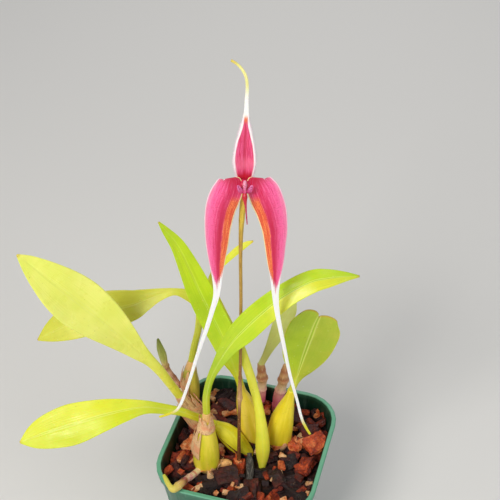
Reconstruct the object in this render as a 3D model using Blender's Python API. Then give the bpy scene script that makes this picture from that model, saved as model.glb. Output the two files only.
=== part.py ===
"""Orchid plant with one long-tailed flower, leaves and bulbs, in a square plastic pot of bark."""

import math
import random

import bmesh
import bpy
from mathutils import Matrix, Vector

# Driving dimensions, in millimetres
MM = 0.001
POT_HALF_TOP = 31.5
POT_HALF_FOOT = 24.0
POT_CORNER_TOP = 14.0
POT_CORNER_FOOT = 10.0
POT_HEIGHT = 60.0
POT_WALL = 0.9
POT_FLOOR = 1.3
POT_LIP = 1.0
POT_TURN = math.radians(-16.0)
DRAIN_RADIUS = 3.0
DRAIN_REACH = 15.0
GAP = 0.35
BARK_TOP = 50.0
CHIP_SEED = 11
CHIP_ROWS = 7
TUBE_SIDES = 12
BLADE_STEPS = 6
BLADE_THIN = 0.36

for item in list(bpy.data.objects):
    bpy.data.objects.remove(item, do_unlink=True)

# Materials
COLOURS = {
    "pot_plastic": ((0.03, 0.16, 0.11, 1.0), 0.45),
    "bark": ((0.16, 0.05, 0.025, 1.0), 0.85),
    "leaf": ((0.38, 0.55, 0.06, 1.0), 0.45),
    "bulb": ((0.55, 0.52, 0.08, 1.0), 0.5),
    "sheath": ((0.55, 0.33, 0.22, 1.0), 0.8),
    "stem": ((0.42, 0.3, 0.06, 1.0), 0.6),
    "sepal": ((0.62, 0.05, 0.16, 1.0), 0.6),
    "petal": ((0.75, 0.35, 0.42, 1.0), 0.55),
    "root": ((0.35, 0.33, 0.3, 1.0), 0.9),
}
MATERIALS = {}
for label, (colour, rough) in COLOURS.items():
    material = bpy.data.materials.new(label)
    material.use_nodes = True
    shader = material.node_tree.nodes["Principled BSDF"]
    shader.inputs["Base Color"].default_value = colour
    shader.inputs["Roughness"].default_value = rough
    material.diffuse_color = colour
    MATERIALS[label] = material


def place(bm, name, slot, hidden=False):
    """Turn a closed surface in millimetres into a named object in metres."""
    bmesh.ops.recalc_face_normals(bm, faces=bm.faces[:])
    for vert in bm.verts:
        vert.co *= MM
    mesh = bpy.data.meshes.new(name)
    bm.to_mesh(mesh)
    bm.free()
    mesh.materials.append(MATERIALS[slot])
    item = bpy.data.objects.new(name, mesh)
    bpy.context.scene.collection.objects.link(item)
    if hidden:
        item.hide_render = True
        item.display_type = "WIRE"
    return item


def smooth_rows(rows, count):
    """Catmull-Rom stations through the control rows, every column alike."""
    last = len(rows) - 1
    out = []
    for step in range(count + 1):
        place_on = last * step / count
        base = min(int(place_on), last - 1)
        t = place_on - base
        a = rows[max(base - 1, 0)]
        b = rows[base]
        c = rows[base + 1]
        d = rows[min(base + 2, last)]
        mixed = []
        for p, q, r, s in zip(a, b, c, d):
            curve = 2 * q + (r - p) * t + (2 * p - 5 * q + 4 * r - s) * t * t
            curve += (3 * q - p - 3 * r + s) * t * t * t
            mixed.append(curve / 2)
        out.append(mixed)
    return out


def tangents(points):
    """Unit direction of travel at every station."""
    out = []
    for index in range(len(points)):
        ahead = points[min(index + 1, len(points) - 1)]
        behind = points[max(index - 1, 0)]
        out.append((ahead - behind).normalized())
    return out


def tube(name, rows, slot, grow=0.0, count=None, sides=TUBE_SIDES, ribs=0.0, hidden=False):
    """Closed round body; each row is x, y, z, radius."""
    count = count or (len(rows) - 1) * 2
    stations = smooth_rows(rows, count)
    points = [Vector(row[:3]) for row in stations]
    ways = tangents(points)
    if grow:
        points[0] -= ways[0] * grow
        points[-1] += ways[-1] * grow
    side = ways[0].orthogonal().normalized()
    bm = bmesh.new()
    rings = []
    for point, way, row in zip(points, ways, stations):
        side = (side - way * side.dot(way)).normalized()
        other = way.cross(side)
        ring = []
        for index in range(sides):
            angle = 2 * math.pi * index / sides
            reach = row[3] * (1 + ribs * math.cos(4 * angle)) + grow
            ring.append(bm.verts.new(point + side * reach * math.cos(angle) + other * reach * math.sin(angle)))
        rings.append(ring)
    for low, high in zip(rings, rings[1:]):
        for index in range(sides):
            after = (index + 1) % sides
            bm.faces.new((low[index], low[after], high[after], high[index]))
    bm.faces.new(list(reversed(rings[0])))
    bm.faces.new(rings[-1])
    bmesh.ops.triangulate(bm, faces=bm.faces[:])
    return place(bm, name, slot, hidden)


def blade(name, rows, slot, count=None, steps=BLADE_STEPS, notch=0.0):
    """Closed thin body. Each row: x, y, z, half width, half thickness, fold, and the way it faces."""
    count = count or int((len(rows) - 1) * 1.5)
    stations = smooth_rows(rows, count)
    points = [Vector(row[:3]) for row in stations]
    ways = tangents(points)
    bm = bmesh.new()
    rings = []
    for index, (point, way, row) in enumerate(zip(points, ways, stations)):
        facing = Vector(row[6:9])
        across = way.cross(facing).normalized()
        normal = across.cross(way).normalized()
        half, thick, fold = max(row[3], 0.3), row[4], row[5]
        edge = min(thick, BLADE_THIN - 0.02)
        push = notch if index == count else 0.0
        upper = []
        lower = []
        for step in range(steps + 1):
            u = 2 * step / steps - 1
            lift = fold * half * abs(u) ** 1.4
            body = edge + (thick - edge) * (1 - u * u) ** 0.6
            centre = point + across * half * u + normal * lift
            centre += way * push * (4 * abs(u) * (1 - abs(u)) + 0.1 * abs(u))
            upper.append(bm.verts.new(centre + normal * body))
            lower.append(bm.verts.new(centre - normal * body))
        rings.append((upper, lower))
    for (up_a, low_a), (up_b, low_b) in zip(rings, rings[1:]):
        for step in range(steps):
            bm.faces.new((up_a[step], up_a[step + 1], up_b[step + 1]))
            bm.faces.new((up_a[step], up_b[step + 1], up_b[step]))
            bm.faces.new((low_a[step], low_b[step + 1], low_a[step + 1]))
            bm.faces.new((low_a[step], low_b[step], low_b[step + 1]))
        for end in (0, steps):
            bm.faces.new((up_a[end], up_b[end], low_b[end]))
            bm.faces.new((up_a[end], low_b[end], low_a[end]))
    for upper, lower in (rings[0], rings[-1]):
        for step in range(steps):
            bm.faces.new((upper[step], upper[step + 1], lower[step + 1]))
            bm.faces.new((upper[step], lower[step + 1], lower[step]))
    return place(bm, name, slot)


def facing_rows(rows, first, last, fold=0.0, thick=BLADE_THIN):
    """Complete short rows with a fold and a facing that turns evenly from first to last."""
    out = []
    for index, row in enumerate(rows):
        t = index / (len(rows) - 1)
        way = [a + (b - a) * t for a, b in zip(first, last)]
        body = list(row[:4]) + [row[4] if len(row) > 4 else thick]
        half = row[3]
        fade = min(1.0, max(0.0, (half - 1.8) / 1.5))
        out.append(body + [fold * fade] + way)
    return out


def square_ring(bm, half, radius, height, per=6):
    """One ring of a rounded square, turned as the pot stands."""
    turn = Matrix.Rotation(POT_TURN, 3, "Z")
    ring = []
    for corner in range(4):
        middle = math.pi / 4 + corner * math.pi / 2
        reach = (half - radius) * math.sqrt(2)
        centre = Vector((reach * math.cos(middle), reach * math.sin(middle), height))
        for step in range(per + 1):
            angle = middle - math.pi / 4 + step * math.pi / 2 / per
            spot = centre + Vector((radius * math.cos(angle), radius * math.sin(angle), 0))
            ring.append(bm.verts.new(turn @ spot))
    return ring


def square_loft(name, levels, slot, hidden=False):
    """Closed body through rounded squares; each level is half side, corner radius, height."""
    bm = bmesh.new()
    rings = [square_ring(bm, *level) for level in levels]
    size = len(rings[0])
    for low, high in zip(rings, rings[1:]):
        for index in range(size):
            after = (index + 1) % size
            bm.faces.new((low[index], low[after], high[after], high[index]))
    bm.faces.new(list(reversed(rings[0])))
    bm.faces.new(rings[-1])
    return place(bm, name, slot, hidden)


def boolean(target, operation, operand=None, group=None):
    """Apply one Boolean to the target and clear its operands away."""
    step = target.modifiers.new("cut", "BOOLEAN")
    step.operation = operation
    step.solver = "EXACT"
    if group:
        step.operand_type = "COLLECTION"
        step.collection = group
    else:
        step.object = operand
    bpy.context.view_layer.update()
    graph = bpy.context.evaluated_depsgraph_get()
    solid = bpy.data.meshes.new_from_object(target.evaluated_get(graph))
    target.modifiers.clear()
    target.data = solid
    gone = list(group.objects) if group else [operand]
    for item in gone:
        bpy.data.objects.remove(item, do_unlink=True)
    if group:
        bpy.data.collections.remove(group)


def gather(name, items):
    """Move operands into one collection of their own."""
    group = bpy.data.collections.new(name)
    bpy.context.scene.collection.children.link(group)
    for item in items:
        for owner in list(item.users_collection):
            owner.objects.unlink(item)
        group.objects.link(item)
    return group


def tidy(item):
    """Weld hair-thin slivers left by the cuts and split the faces into triangles."""
    bm = bmesh.new()
    bm.from_mesh(item.data)
    bmesh.ops.remove_doubles(bm, verts=bm.verts[:], dist=0.00002)
    bmesh.ops.dissolve_degenerate(bm, edges=bm.edges[:], dist=0.00001)
    bmesh.ops.triangulate(bm, faces=bm.faces[:])
    bm.to_mesh(item.data)
    bm.free()


def pot_half(height):
    """Outer half side of the pot wall at a height."""
    return POT_HALF_FOOT + (POT_HALF_TOP - POT_HALF_FOOT) * height / POT_HEIGHT


def pot_corner(height):
    """Outer corner radius of the pot wall at a height."""
    return POT_CORNER_FOOT + (POT_CORNER_TOP - POT_CORNER_FOOT) * height / POT_HEIGHT


# Pot: thin tapering square shell with a rolled lip and four drain holes
inner_top = pot_half(POT_HEIGHT) - POT_WALL
pot = square_loft(
    "pot",
    [
        (pot_half(0) - 0.8, pot_corner(0) - 0.8, 0.0),
        (pot_half(0.8), pot_corner(0.8), 0.8),
        (pot_half(30), pot_corner(30), 30.0),
        (pot_half(56.4), pot_corner(56.4), 56.4),
        (pot_half(57) + POT_LIP, pot_corner(57) + POT_LIP, 57.0),
        (pot_half(59.6) + POT_LIP, pot_corner(59.6) + POT_LIP, 59.6),
        (pot_half(60) + POT_LIP - 0.4, pot_corner(60) + POT_LIP - 0.4, POT_HEIGHT),
        (inner_top + 0.2, POT_CORNER_TOP - POT_WALL + 0.2, POT_HEIGHT),
        (inner_top, POT_CORNER_TOP - POT_WALL, 59.7),
        (pot_half(30) - POT_WALL, pot_corner(30) - POT_WALL, 30.0),
        (pot_half(POT_FLOOR) - POT_WALL, pot_corner(POT_FLOOR) - POT_WALL, POT_FLOOR),
    ],
    "pot_plastic",
)
drains = []
for corner in range(4):
    angle = POT_TURN + math.pi / 4 + corner * math.pi / 2
    bm = bmesh.new()
    bmesh.ops.create_cone(
        bm, cap_ends=True, segments=16, radius1=DRAIN_RADIUS, radius2=DRAIN_RADIUS, depth=6.0
    )
    away = Vector((math.cos(angle), math.sin(angle), 0)) * DRAIN_REACH
    bmesh.ops.translate(bm, verts=bm.verts[:], vec=away)
    drains.append(place(bm, f"drain_{corner}", "pot_plastic", hidden=True))
boolean(pot, "DIFFERENCE", group=gather("drains", drains))
tidy(pot)

# Bulbs: x, y, z, radius from foot to neck
BULBS = {
    "pseudobulb_1": [
        (-16.4, -6.8, 46.5, 1.8), (-16.5, -6.9, 50.5, 3.2), (-16.7, -7.0, 54.5, 5.0), (-16.8, -7.0, 59.5, 5.5),
        (-16.8, -7.0, 65.5, 5.1), (-16.6, -7.1, 72.5, 3.9), (-16.3, -7.3, 79.0, 2.4), (-16.0, -7.5, 84.8, 1.5),
    ],
    "pseudobulb_2": [
        (3.4, 7.0, 46.5, 1.8), (3.0, 6.7, 51.0, 3.2), (2.3, 6.5, 56.0, 4.6), (1.3, 6.3, 62.0, 4.8),
        (0.0, 6.3, 69.0, 4.5), (-1.6, 6.4, 77.0, 3.2), (-2.5, 6.5, 82.0, 1.9), (-2.8, 6.5, 85.2, 1.45),
    ],
    "pseudobulb_3": [
        (12.2, 5.5, 46.5, 2.0), (12.4, 5.3, 51.0, 3.6), (12.8, 5.0, 56.0, 5.0), (13.3, 4.8, 62.0, 5.2),
        (14.0, 4.5, 68.0, 4.7), (15.4, 4.5, 75.0, 3.3), (16.6, 4.5, 80.5, 2.0), (17.2, 4.5, 84.4, 1.45),
    ],
    "pseudobulb_4": [
        (-12.6, 13.4, 47.0, 1.7), (-14.4, 12.6, 51.0, 2.7), (-17.0, 11.7, 55.5, 3.8), (-20.5, 10.5, 61.5, 4.1),
        (-23.8, 9.5, 68.5, 3.5), (-26.1, 9.0, 73.6, 2.5), (-27.3, 8.7, 76.6, 2.0),
    ],
    "pseudobulb_5": [
        (-20.5, 17.5, 47.0, 1.5), (-21.3, 17.9, 54.0, 1.6), (-22.3, 18.2, 59.5, 1.9), (-22.9, 18.5, 64.0, 2.6),
        (-23.4, 18.5, 69.0, 3.5), (-23.8, 18.5, 74.5, 3.8), (-23.5, 18.4, 81.0, 2.8), (-22.8, 18.1, 87.2, 1.4),
    ],
    "pseudobulb_6": [
        (1.0, -0.3, 47.5, 1.7), (-0.3, -0.3, 52.4, 2.6), (-3.4, -0.2, 57.0, 3.7), (-6.3, -0.1, 61.3, 4.1),
        (-9.4, 0.0, 65.4, 3.5), (-12.0, 0.0, 68.4, 2.2), (-13.1, 0.0, 69.4, 1.7),
    ],
}
# Sheathed shoots, the creeping stem pieces, a dry root and the flower stalk
SHOOTS = {
    "shoot_a": [
        (5.4, 25.6, 46.5, 1.7), (5.4, 26.4, 53.0, 1.95), (5.4, 26.7, 59.2, 2.25), (5.9, 26.9, 64.5, 1.9),
        (5.9, 27.0, 68.5, 2.15), (5.7, 27.0, 72.5, 1.75), (5.5, 27.0, 75.9, 1.5),
    ],
    "shoot_b": [
        (12.0, 23.4, 46.5, 1.8), (12.4, 24.4, 54.0, 2.15), (13.2, 24.8, 60.1, 2.35), (14.4, 25.0, 65.6, 2.0),
        (14.8, 25.0, 69.5, 2.15), (15.1, 25.0, 73.5, 1.6), (15.4, 25.0, 78.0, 0.8),
    ],
    "shoot_c": [
        (-29.3, 18.0, 73.2, 1.05), (-30.3, 17.7, 77.8, 1.2), (-32.5, 17.5, 82.1, 1.4), (-33.5, 17.5, 86.2, 1.3),
        (-34.3, 17.5, 91.3, 1.65), (-35.1, 17.5, 96.0, 1.3), (-35.6, 17.5, 100.3, 0.45),
    ],
}
CREEPERS = {
    "rhizome_tip": [
        (-20.5, -12.3, 54.9, 1.2), (-21.8, -14.4, 56.0, 1.4), (-24.1, -18.7, 58.6, 1.3),
        (-26.3, -23.6, 61.7, 1.5), (-28.7, -26.7, 62.7, 1.5), (-30.3, -25.9, 63.4, 1.2),
        (-31.8, -23.4, 64.2, 1.2), (-32.8, -21.6, 65.0, 0.7),
    ],
    "rhizome_stub": [(-9.8, -5.6, 52.4, 1.3), (-8.5, -6.3, 53.6, 1.6), (-6.6, -7.3, 53.8, 1.2)],
    "dry_root": [(0.7, -4.4, 55.8, 0.9), (0.8, -8.0, 53.2, 1.4), (0.9, -11.5, 51.6, 1.5), (0.9, -15.0, 50.0, 1.1)],
}
FLOWER_STEM = [
    (-3.8, -5.4, 47.0, 0.9), (-3.7, -5.4, 54.6, 0.85), (-3.6, -5.5, 66.0, 0.68), (-3.3, -5.6, 86.0, 0.64),
    (-3.1, -5.6, 91.0, 0.9), (-3.0, -5.6, 98.0, 0.8), (-2.9, -5.7, 103.0, 0.62), (-2.7, -6.2, 118.0, 0.6),
    (-2.4, -7.5, 144.3, 0.6), (-2.4, -9.1, 164.2, 0.62), (-2.2, -10.1, 176.0, 0.76), (-1.8, -10.9, 185.1, 0.98),
    (-1.3, -11.5, 190.9, 1.12), (-1.0, -11.9, 194.6, 0.9),
]
for label, rows in BULBS.items():
    tube(label, rows, "sheath" if label == "pseudobulb_4" else "bulb", ribs=0.04)
for label, rows in SHOOTS.items():
    tube(label, rows, "sheath", sides=10)
for label, rows in CREEPERS.items():
    tube(label, rows, "root" if label == "dry_root" else "sheath", sides=10)
tube("flower_stem", FLOWER_STEM, "stem", sides=8)

# Leaves: x, y, z, half width, half thickness from stalk to tip
LEAF_1 = [
    (-16.0, -7.5, 85.5, 1.43, 1.35), (-15.9, -8.0, 94.0, 1.43, 1.25), (-14.6, -8.5, 102.8, 1.42, 0.9),
    (-12.2, -9.3, 111.0, 1.78, 0.5), (-7.1, -10.5, 123.6, 3.19, 0.36), (-2.0, -11.0, 132.0, 4.65, 0.36),
    (5.2, -10.5, 140.8, 4.8, 0.36), (13.4, -9.0, 148.0, 4.27, 0.36), (22.1, -7.0, 152.3, 4.04, 0.36),
    (28.4, -5.5, 152.7, 3.21, 0.36), (34.1, -4.0, 152.2, 1.82, 0.36), (39.4, -2.5, 151.0, 0.33, 0.34),
]
LEAF_2 = [
    (-3.0, 6.5, 86.0, 1.43, 1.3), (-3.7, 6.3, 89.9, 1.58, 1.1), (-4.9, 6.1, 94.6, 2.15, 0.7),
    (-6.9, 6.0, 101.9, 3.7, 0.38), (-9.5, 6.5, 111.7, 4.9, 0.36), (-13.5, 7.5, 122.3, 5.2, 0.36),
    (-17.6, 9.0, 132.6, 4.9, 0.36), (-21.2, 10.5, 142.6, 4.0, 0.36), (-25.2, 11.5, 153.2, 2.7, 0.36),
    (-29.2, 12.1, 159.7, 1.45, 0.36), (-31.7, 12.5, 163.5, 0.32, 0.34),
]
LEAF_3 = [
    (17.4, 4.5, 85.2, 1.42, 1.3), (18.4, 4.6, 88.6, 1.4, 1.1), (19.2, 4.5, 92.3, 2.35, 0.6),
    (20.1, 4.0, 97.7, 4.97, 0.38), (21.4, 3.5, 105.0, 8.24, 0.36), (23.5, 3.0, 114.9, 10.04, 0.36),
    (25.0, 2.5, 121.9, 9.77, 0.36), (26.2, 2.2, 126.4, 7.4, 0.36),
]
LEAF_4 = [
    (5.4, 27.0, 76.7, 1.36, 1.1), (7.1, 27.0, 80.8, 1.49, 0.9), (9.1, 26.5, 86.9, 2.01, 0.5),
    (11.6, 26.0, 94.5, 3.0, 0.36), (14.0, 25.0, 103.0, 3.72, 0.36), (16.4, 24.0, 110.5, 3.0, 0.36),
    (18.7, 23.4, 116.1, 0.37, 0.34),
]
LEAF_6 = [
    (5.6, -6.4, 46.5, 1.3, 1.3), (5.8, -6.3, 51.5, 1.5, 1.5), (5.9, -5.8, 57.0, 2.5, 2.3),
    (5.9, -5.3, 63.0, 2.9, 2.7), (5.4, -3.5, 71.4, 2.4, 2.3), (4.1, -0.5, 81.1, 1.8, 1.7),
    (1.9, 3.5, 89.4, 1.77, 1.6), (-0.5, 8.0, 95.4, 1.8, 1.3), (-3.6, 12.5, 102.0, 1.96, 0.8),
    (-7.8, 17.0, 109.3, 1.83, 0.5), (-11.3, 20.0, 115.8, 1.87, 0.38), (-13.7, 21.5, 122.3, 1.74, 0.36),
    (-13.9, 22.5, 127.6, 1.34, 0.36), (-11.8, 23.0, 132.3, 1.22, 0.36), (-8.3, 23.5, 136.1, 1.14, 0.36),
    (-4.1, 24.0, 140.6, 1.36, 0.36), (-0.7, 24.3, 143.4, 1.05, 0.36), (2.0, 24.5, 144.8, 0.34, 0.34),
]
LEAF_7 = [
    (-22.8, 18.1, 87.9, 1.41, 1.2), (-21.5, 18.0, 95.4, 1.4, 1.1), (-19.6, 17.7, 105.1, 1.4, 1.0),
    (-18.6, 17.5, 115.0, 1.7, 0.8), (-19.8, 17.0, 121.0, 2.15, 0.5), (-23.4, 16.5, 125.0, 1.98, 0.38),
    (-28.0, 15.9, 127.0, 1.4, 0.36), (-34.1, 15.2, 126.0, 2.58, 0.36), (-39.7, 14.4, 124.0, 4.41, 0.36),
    (-44.8, 13.4, 122.3, 6.08, 0.36), (-54.3, 12.2, 120.6, 7.53, 0.36), (-62.0, 11.0, 118.5, 7.46, 0.36),
    (-69.4, 9.8, 115.4, 6.11, 0.36), (-75.8, 9.0, 111.9, 3.6, 0.36), (-80.8, 8.5, 108.7, 0.35, 0.34),
]
LEAF_8 = [
    (-27.9, 8.4, 77.9, 1.77, 1.7), (-30.9, 6.5, 86.5, 1.78, 1.6), (-34.2, 4.5, 95.7, 1.95, 1.4),
    (-37.7, 2.5, 103.6, 2.26, 1.0), (-41.5, 0.2, 111.1, 3.47, 0.5), (-45.8, -2.7, 120.5, 5.4, 0.4),
    (-50.0, -5.4, 129.3, 7.12, 0.38), (-54.6, -8.0, 137.8, 8.55, 0.38), (-59.5, -10.5, 146.3, 9.09, 0.38),
    (-64.3, -13.0, 154.7, 8.02, 0.38), (-68.9, -15.0, 162.6, 5.73, 0.37), (-72.9, -16.5, 169.2, 2.99, 0.36),
    (-75.8, -17.5, 173.6, 0.33, 0.34),
]
LEAF_9 = [
    (-13.75, -0.1, 70.0, 1.6, 1.5), (-17.1, -0.9, 73.2, 1.6, 1.5), (-20.9, -3.5, 78.3, 1.58, 1.4),
    (-25.9, -7.2, 85.3, 1.67, 1.1), (-31.7, -10.5, 90.5, 1.95, 0.6), (-38.8, -13.7, 95.1, 2.57, 0.4),
    (-46.0, -16.5, 96.6, 4.23, 0.38), (-54.7, -19.2, 96.5, 6.15, 0.38), (-65.0, -21.5, 94.4, 7.67, 0.38),
    (-73.5, -23.5, 92.8, 6.6, 0.38), (-79.9, -25.0, 91.0, 4.2, 0.37), (-84.8, -26.0, 89.3, 0.37, 0.34),
]
blade("leaf_1", facing_rows(LEAF_1, (0.2, -0.8, 0.55), (-0.1, -0.62, 0.78), 0.16), "leaf")
blade("leaf_2", facing_rows(LEAF_2, (0, -0.85, 0.5), (0.3, -0.8, 0.5), 0.12), "leaf")
blade("leaf_3", facing_rows(LEAF_3, (0, -0.9, 0.45), (0.1, -0.85, 0.5), 0.12), "leaf", notch=2.9)
blade("leaf_4", facing_rows(LEAF_4, (0, -0.85, 0.5), (0.1, -0.8, 0.55), 0.12), "leaf")
blade("leaf_6", facing_rows(LEAF_6, (0, -0.9, 0.4), (0.1, -0.8, 0.6), 0.12), "leaf")
blade("leaf_7", facing_rows(LEAF_7, (0.3, -0.9, 0.5), (0.0, -0.65, 0.75), 0.12), "leaf")
blade("leaf_8", facing_rows(LEAF_8, (0.1, -0.8, 0.5), (0.1, -0.7, 0.7), 0.1), "leaf")
blade("leaf_9", facing_rows(LEAF_9, (0.1, -0.7, 0.7), (0.0, -0.62, 0.78), 0.14), "leaf")

# Flower: x, y, z, half width of each sepal from its seat to the end of its tail
DORSAL = [
    (-0.9, -12.0, 199.4, 1.9), (-0.9, -11.8, 201.5, 2.6), (-0.9, -11.5, 205.1, 3.25),
    (-0.9, -11.3, 208.4, 3.4), (-0.8, -11.0, 212.6, 2.95), (-0.6, -10.7, 216.7, 2.1),
    (-0.5, -10.5, 220.2, 1.3), (-0.3, -10.3, 223.9, 0.8), (-0.2, -10.0, 228.5, 0.58), (0.0, -9.7, 232.5, 0.48),
    (-0.3, -9.3, 235.8, 0.45), (-1.4, -8.8, 238.2, 0.42), (-3.0, -8.3, 239.9, 0.39), (-4.8, -7.8, 240.9, 0.36),
]
LATERAL_LEFT = [
    (-5.3, -14.3, 202.5, 1.13), (-5.2, -14.5, 201.4, 3.08), (-5.7, -14.8, 199.8, 4.35),
    (-6.3, -15.1, 197.6, 5.0), (-7.6, -15.5, 194.0, 5.19), (-8.7, -15.7, 190.1, 4.93),
    (-9.6, -15.8, 183.6, 4.37), (-10.0, -15.8, 176.0, 3.74), (-10.2, -15.8, 168.6, 2.65),
    (-10.2, -15.8, 161.5, 1.7), (-10.6, -15.8, 154.3, 1.1), (-12.3, -15.8, 146.8, 0.85),
    (-14.6, -15.8, 137.6, 0.75), (-18.0, -15.8, 125.2, 0.64), (-22.4, -15.8, 107.9, 0.56),
    (-25.9, -15.8, 97.2, 0.52), (-29.3, -15.8, 93.9, 0.5), (-33.4, -15.8, 92.0, 0.42),
]
LATERAL_RIGHT = [
    (3.3, -14.3, 202.6, 1.13), (3.3, -14.5, 201.5, 3.14), (4.1, -14.8, 199.8, 4.6), (5.0, -15.1, 197.6, 5.28),
    (6.4, -15.5, 193.6, 5.41), (7.7, -15.7, 189.3, 5.04), (8.8, -15.8, 182.7, 4.32), (9.1, -15.8, 176.0, 3.58),
    (9.3, -15.8, 169.1, 2.85), (9.4, -15.8, 162.0, 1.8), (9.5, -15.8, 154.2, 1.15), (10.4, -15.8, 144.9, 0.85),
    (12.8, -15.8, 130.2, 0.68), (15.2, -15.8, 115.9, 0.58), (18.3, -15.8, 101.4, 0.52),
    (20.3, -15.8, 91.4, 0.52), (22.0, -15.8, 86.3, 0.5), (23.8, -15.8, 82.2, 0.42),
]
PETAL_LEFT = [(-1.9, -16.6, 200.0, 0.4, 0.34), (-2.7, -16.9, 201.2, 0.75, 0.34), (-3.5, -17.2, 202.6, 0.35, 0.32)]
PETAL_RIGHT = [(0.3, -16.6, 200.0, 0.4, 0.34), (1.1, -16.9, 201.2, 0.75, 0.34), (1.9, -17.2, 202.6, 0.35, 0.32)]
COLUMN = [(-0.8, -14.2, 201.6, 0.7), (-0.8, -15.2, 201.2, 0.95), (-0.8, -16.2, 199.9, 0.9), (-0.8, -16.9, 198.3, 0.6)]
LABELLUM = [
    (-0.8, -16.8, 196.9, 0.5), (-0.8, -17.5, 195.6, 0.95), (-0.7, -17.8, 193.8, 0.6), (-0.5, -18.0, 191.2, 0.34),
    (-0.3, -18.1, 188.8, 0.32), (-0.1, -18.2, 186.6, 0.3),
]
blade("dorsal_sepal", facing_rows(DORSAL, (0, -0.97, 0.25), (0, -0.97, 0.25), 0.3), "sepal", count=20)
blade("lateral_sepal_left", facing_rows(LATERAL_LEFT, (0.05, -1, 0.1), (0, -1, 0.1), -0.22), "sepal", count=26)
blade("lateral_sepal_right", facing_rows(LATERAL_RIGHT, (-0.05, -1, 0.1), (0, -1, 0.1), -0.22), "sepal", count=26)
blade("petal_left", facing_rows(PETAL_LEFT, (0, -1, 0.2), (0, -1, 0.2)), "petal", count=5, steps=4)
blade("petal_right", facing_rows(PETAL_RIGHT, (0, -1, 0.2), (0, -1, 0.2)), "petal", count=5, steps=4)
tube("column", COLUMN, "petal", sides=8)
tube("labellum", LABELLUM, "petal", sides=8)

# Bark bed: packed chips fused to one body that fills the pot and shows loose chips on top
bed = square_loft(
    "bark_bed",
    [
        (pot_half(2) - POT_WALL - GAP, pot_corner(2) - POT_WALL - GAP, POT_FLOOR + GAP),
        (pot_half(30) - POT_WALL - GAP - 0.1, pot_corner(30) - POT_WALL - GAP, 30.0),
        (pot_half(BARK_TOP) - POT_WALL - GAP - 0.1, pot_corner(BARK_TOP) - POT_WALL - GAP, BARK_TOP),
    ],
    "bark",
)
dice = random.Random(CHIP_SEED)


def chip(name, spot, size, turn):
    """One split piece of bark: a roughly cut block."""
    bm = bmesh.new()
    for sx in (-1, 1):
        for sy in (-1, 1):
            for sz in (-1, 1):
                corner = Vector((sx * size[0] / 2, sy * size[1] / 2, sz * size[2] / 2))
                corner *= dice.uniform(0.72, 1.08)
                bm.verts.new(turn @ corner + spot)
    bmesh.ops.convex_hull(bm, input=bm.verts[:])
    return place(bm, name, "bark", hidden=True)


chips = []
pot_turn = Matrix.Rotation(POT_TURN, 3, "Z")
pitch = 54.0 / (CHIP_ROWS - 1)
for column in range(CHIP_ROWS):
    for line in range(CHIP_ROWS):
        x = -27.0 + column * pitch + dice.uniform(-2.4, 2.4)
        y = -27.0 + line * pitch + dice.uniform(-2.4, 2.4)
        turn = Matrix.Rotation(dice.uniform(0, math.pi), 3, "Z")
        turn = turn @ Matrix.Rotation(dice.uniform(-0.5, 0.5), 3, "X")
        turn = turn @ Matrix.Rotation(dice.uniform(-0.4, 0.4), 3, "Y")
        size = (dice.uniform(7.5, 12.5), dice.uniform(5.0, 8.0), dice.uniform(3.5, 5.5))
        spot = pot_turn @ Vector((x, y, 0)) + Vector((0, 0, dice.uniform(50.0, 52.6)))
        chips.append(chip(f"chip_{column}_{line}", spot, size, turn))
BIG_CHIPS = [
    (27.6, 0.4, 57.2, 11.0, 8.0, 4.5, 0.6, 0.35), (23.0, -9.5, 55.0, 9.0, 6.5, 4.0, 1.2, -0.4),
    (26.0, 8.5, 54.6, 8.0, 6.0, 4.0, 0.2, 0.3), (18.5, 1.5, 54.8, 7.0, 5.0, 3.6, 2.0, 0.3),
    (-24.0, 3.5, 53.8, 7.0, 5.0, 4.0, 0.9, 0.4), (-8.5, -14.0, 53.8, 9.5, 7.0, 4.0, 0.3, 0.2),
    (12.0, -15.0, 53.6, 9.0, 5.5, 4.0, 1.9, -0.3), (-3.0, -24.0, 53.6, 8.0, 6.0, 4.0, 0.5, 0.2),
    (-9.0, 24.0, 54.0, 9.0, 6.0, 4.0, 2.4, 0.3), (20.0, 18.0, 53.8, 8.5, 6.0, 4.0, 1.4, 0.3),
]
for index, (x, y, z, long, wide, thick, spin, lean) in enumerate(BIG_CHIPS):
    turn = Matrix.Rotation(spin, 3, "Z") @ Matrix.Rotation(lean, 3, "X")
    chips.append(chip(f"big_chip_{index}", Vector((x, y, z)), (long, wide, thick), turn))
boolean(bed, "UNION", group=gather("chips", chips))
clip = square_loft(
    "clip",
    [
        (pot_half(1) - POT_WALL - GAP - 0.05, pot_corner(1) - POT_WALL - GAP, 1.0),
        (pot_half(POT_HEIGHT) - POT_WALL - GAP - 0.1, pot_corner(POT_HEIGHT) - POT_WALL - GAP, POT_HEIGHT),
        (pot_half(POT_HEIGHT) - POT_WALL - GAP - 0.1, pot_corner(POT_HEIGHT) - POT_WALL - GAP, 75.0),
    ],
    "bark",
    hidden=True,
)
boolean(bed, "INTERSECT", operand=clip)
cutters = []
feet = dict(BULBS)
feet.update(SHOOTS)
feet.update(CREEPERS)
feet["flower_stem"] = FLOWER_STEM[:5]
feet["leaf_6"] = [(x, y, z, max(half, thick)) for x, y, z, half, thick in LEAF_6[:6]]
for label, rows in feet.items():
    cutters.append(tube(f"hole_{label}", rows, "bark", grow=0.5, hidden=True))
boolean(bed, "DIFFERENCE", group=gather("cutters", cutters))
tidy(bed)
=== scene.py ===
"""Looks of the potted long-tailed orchid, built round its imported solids."""

import itertools
import math
import random

import bmesh
import bpy
from mathutils import Matrix, Vector, noise


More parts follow.
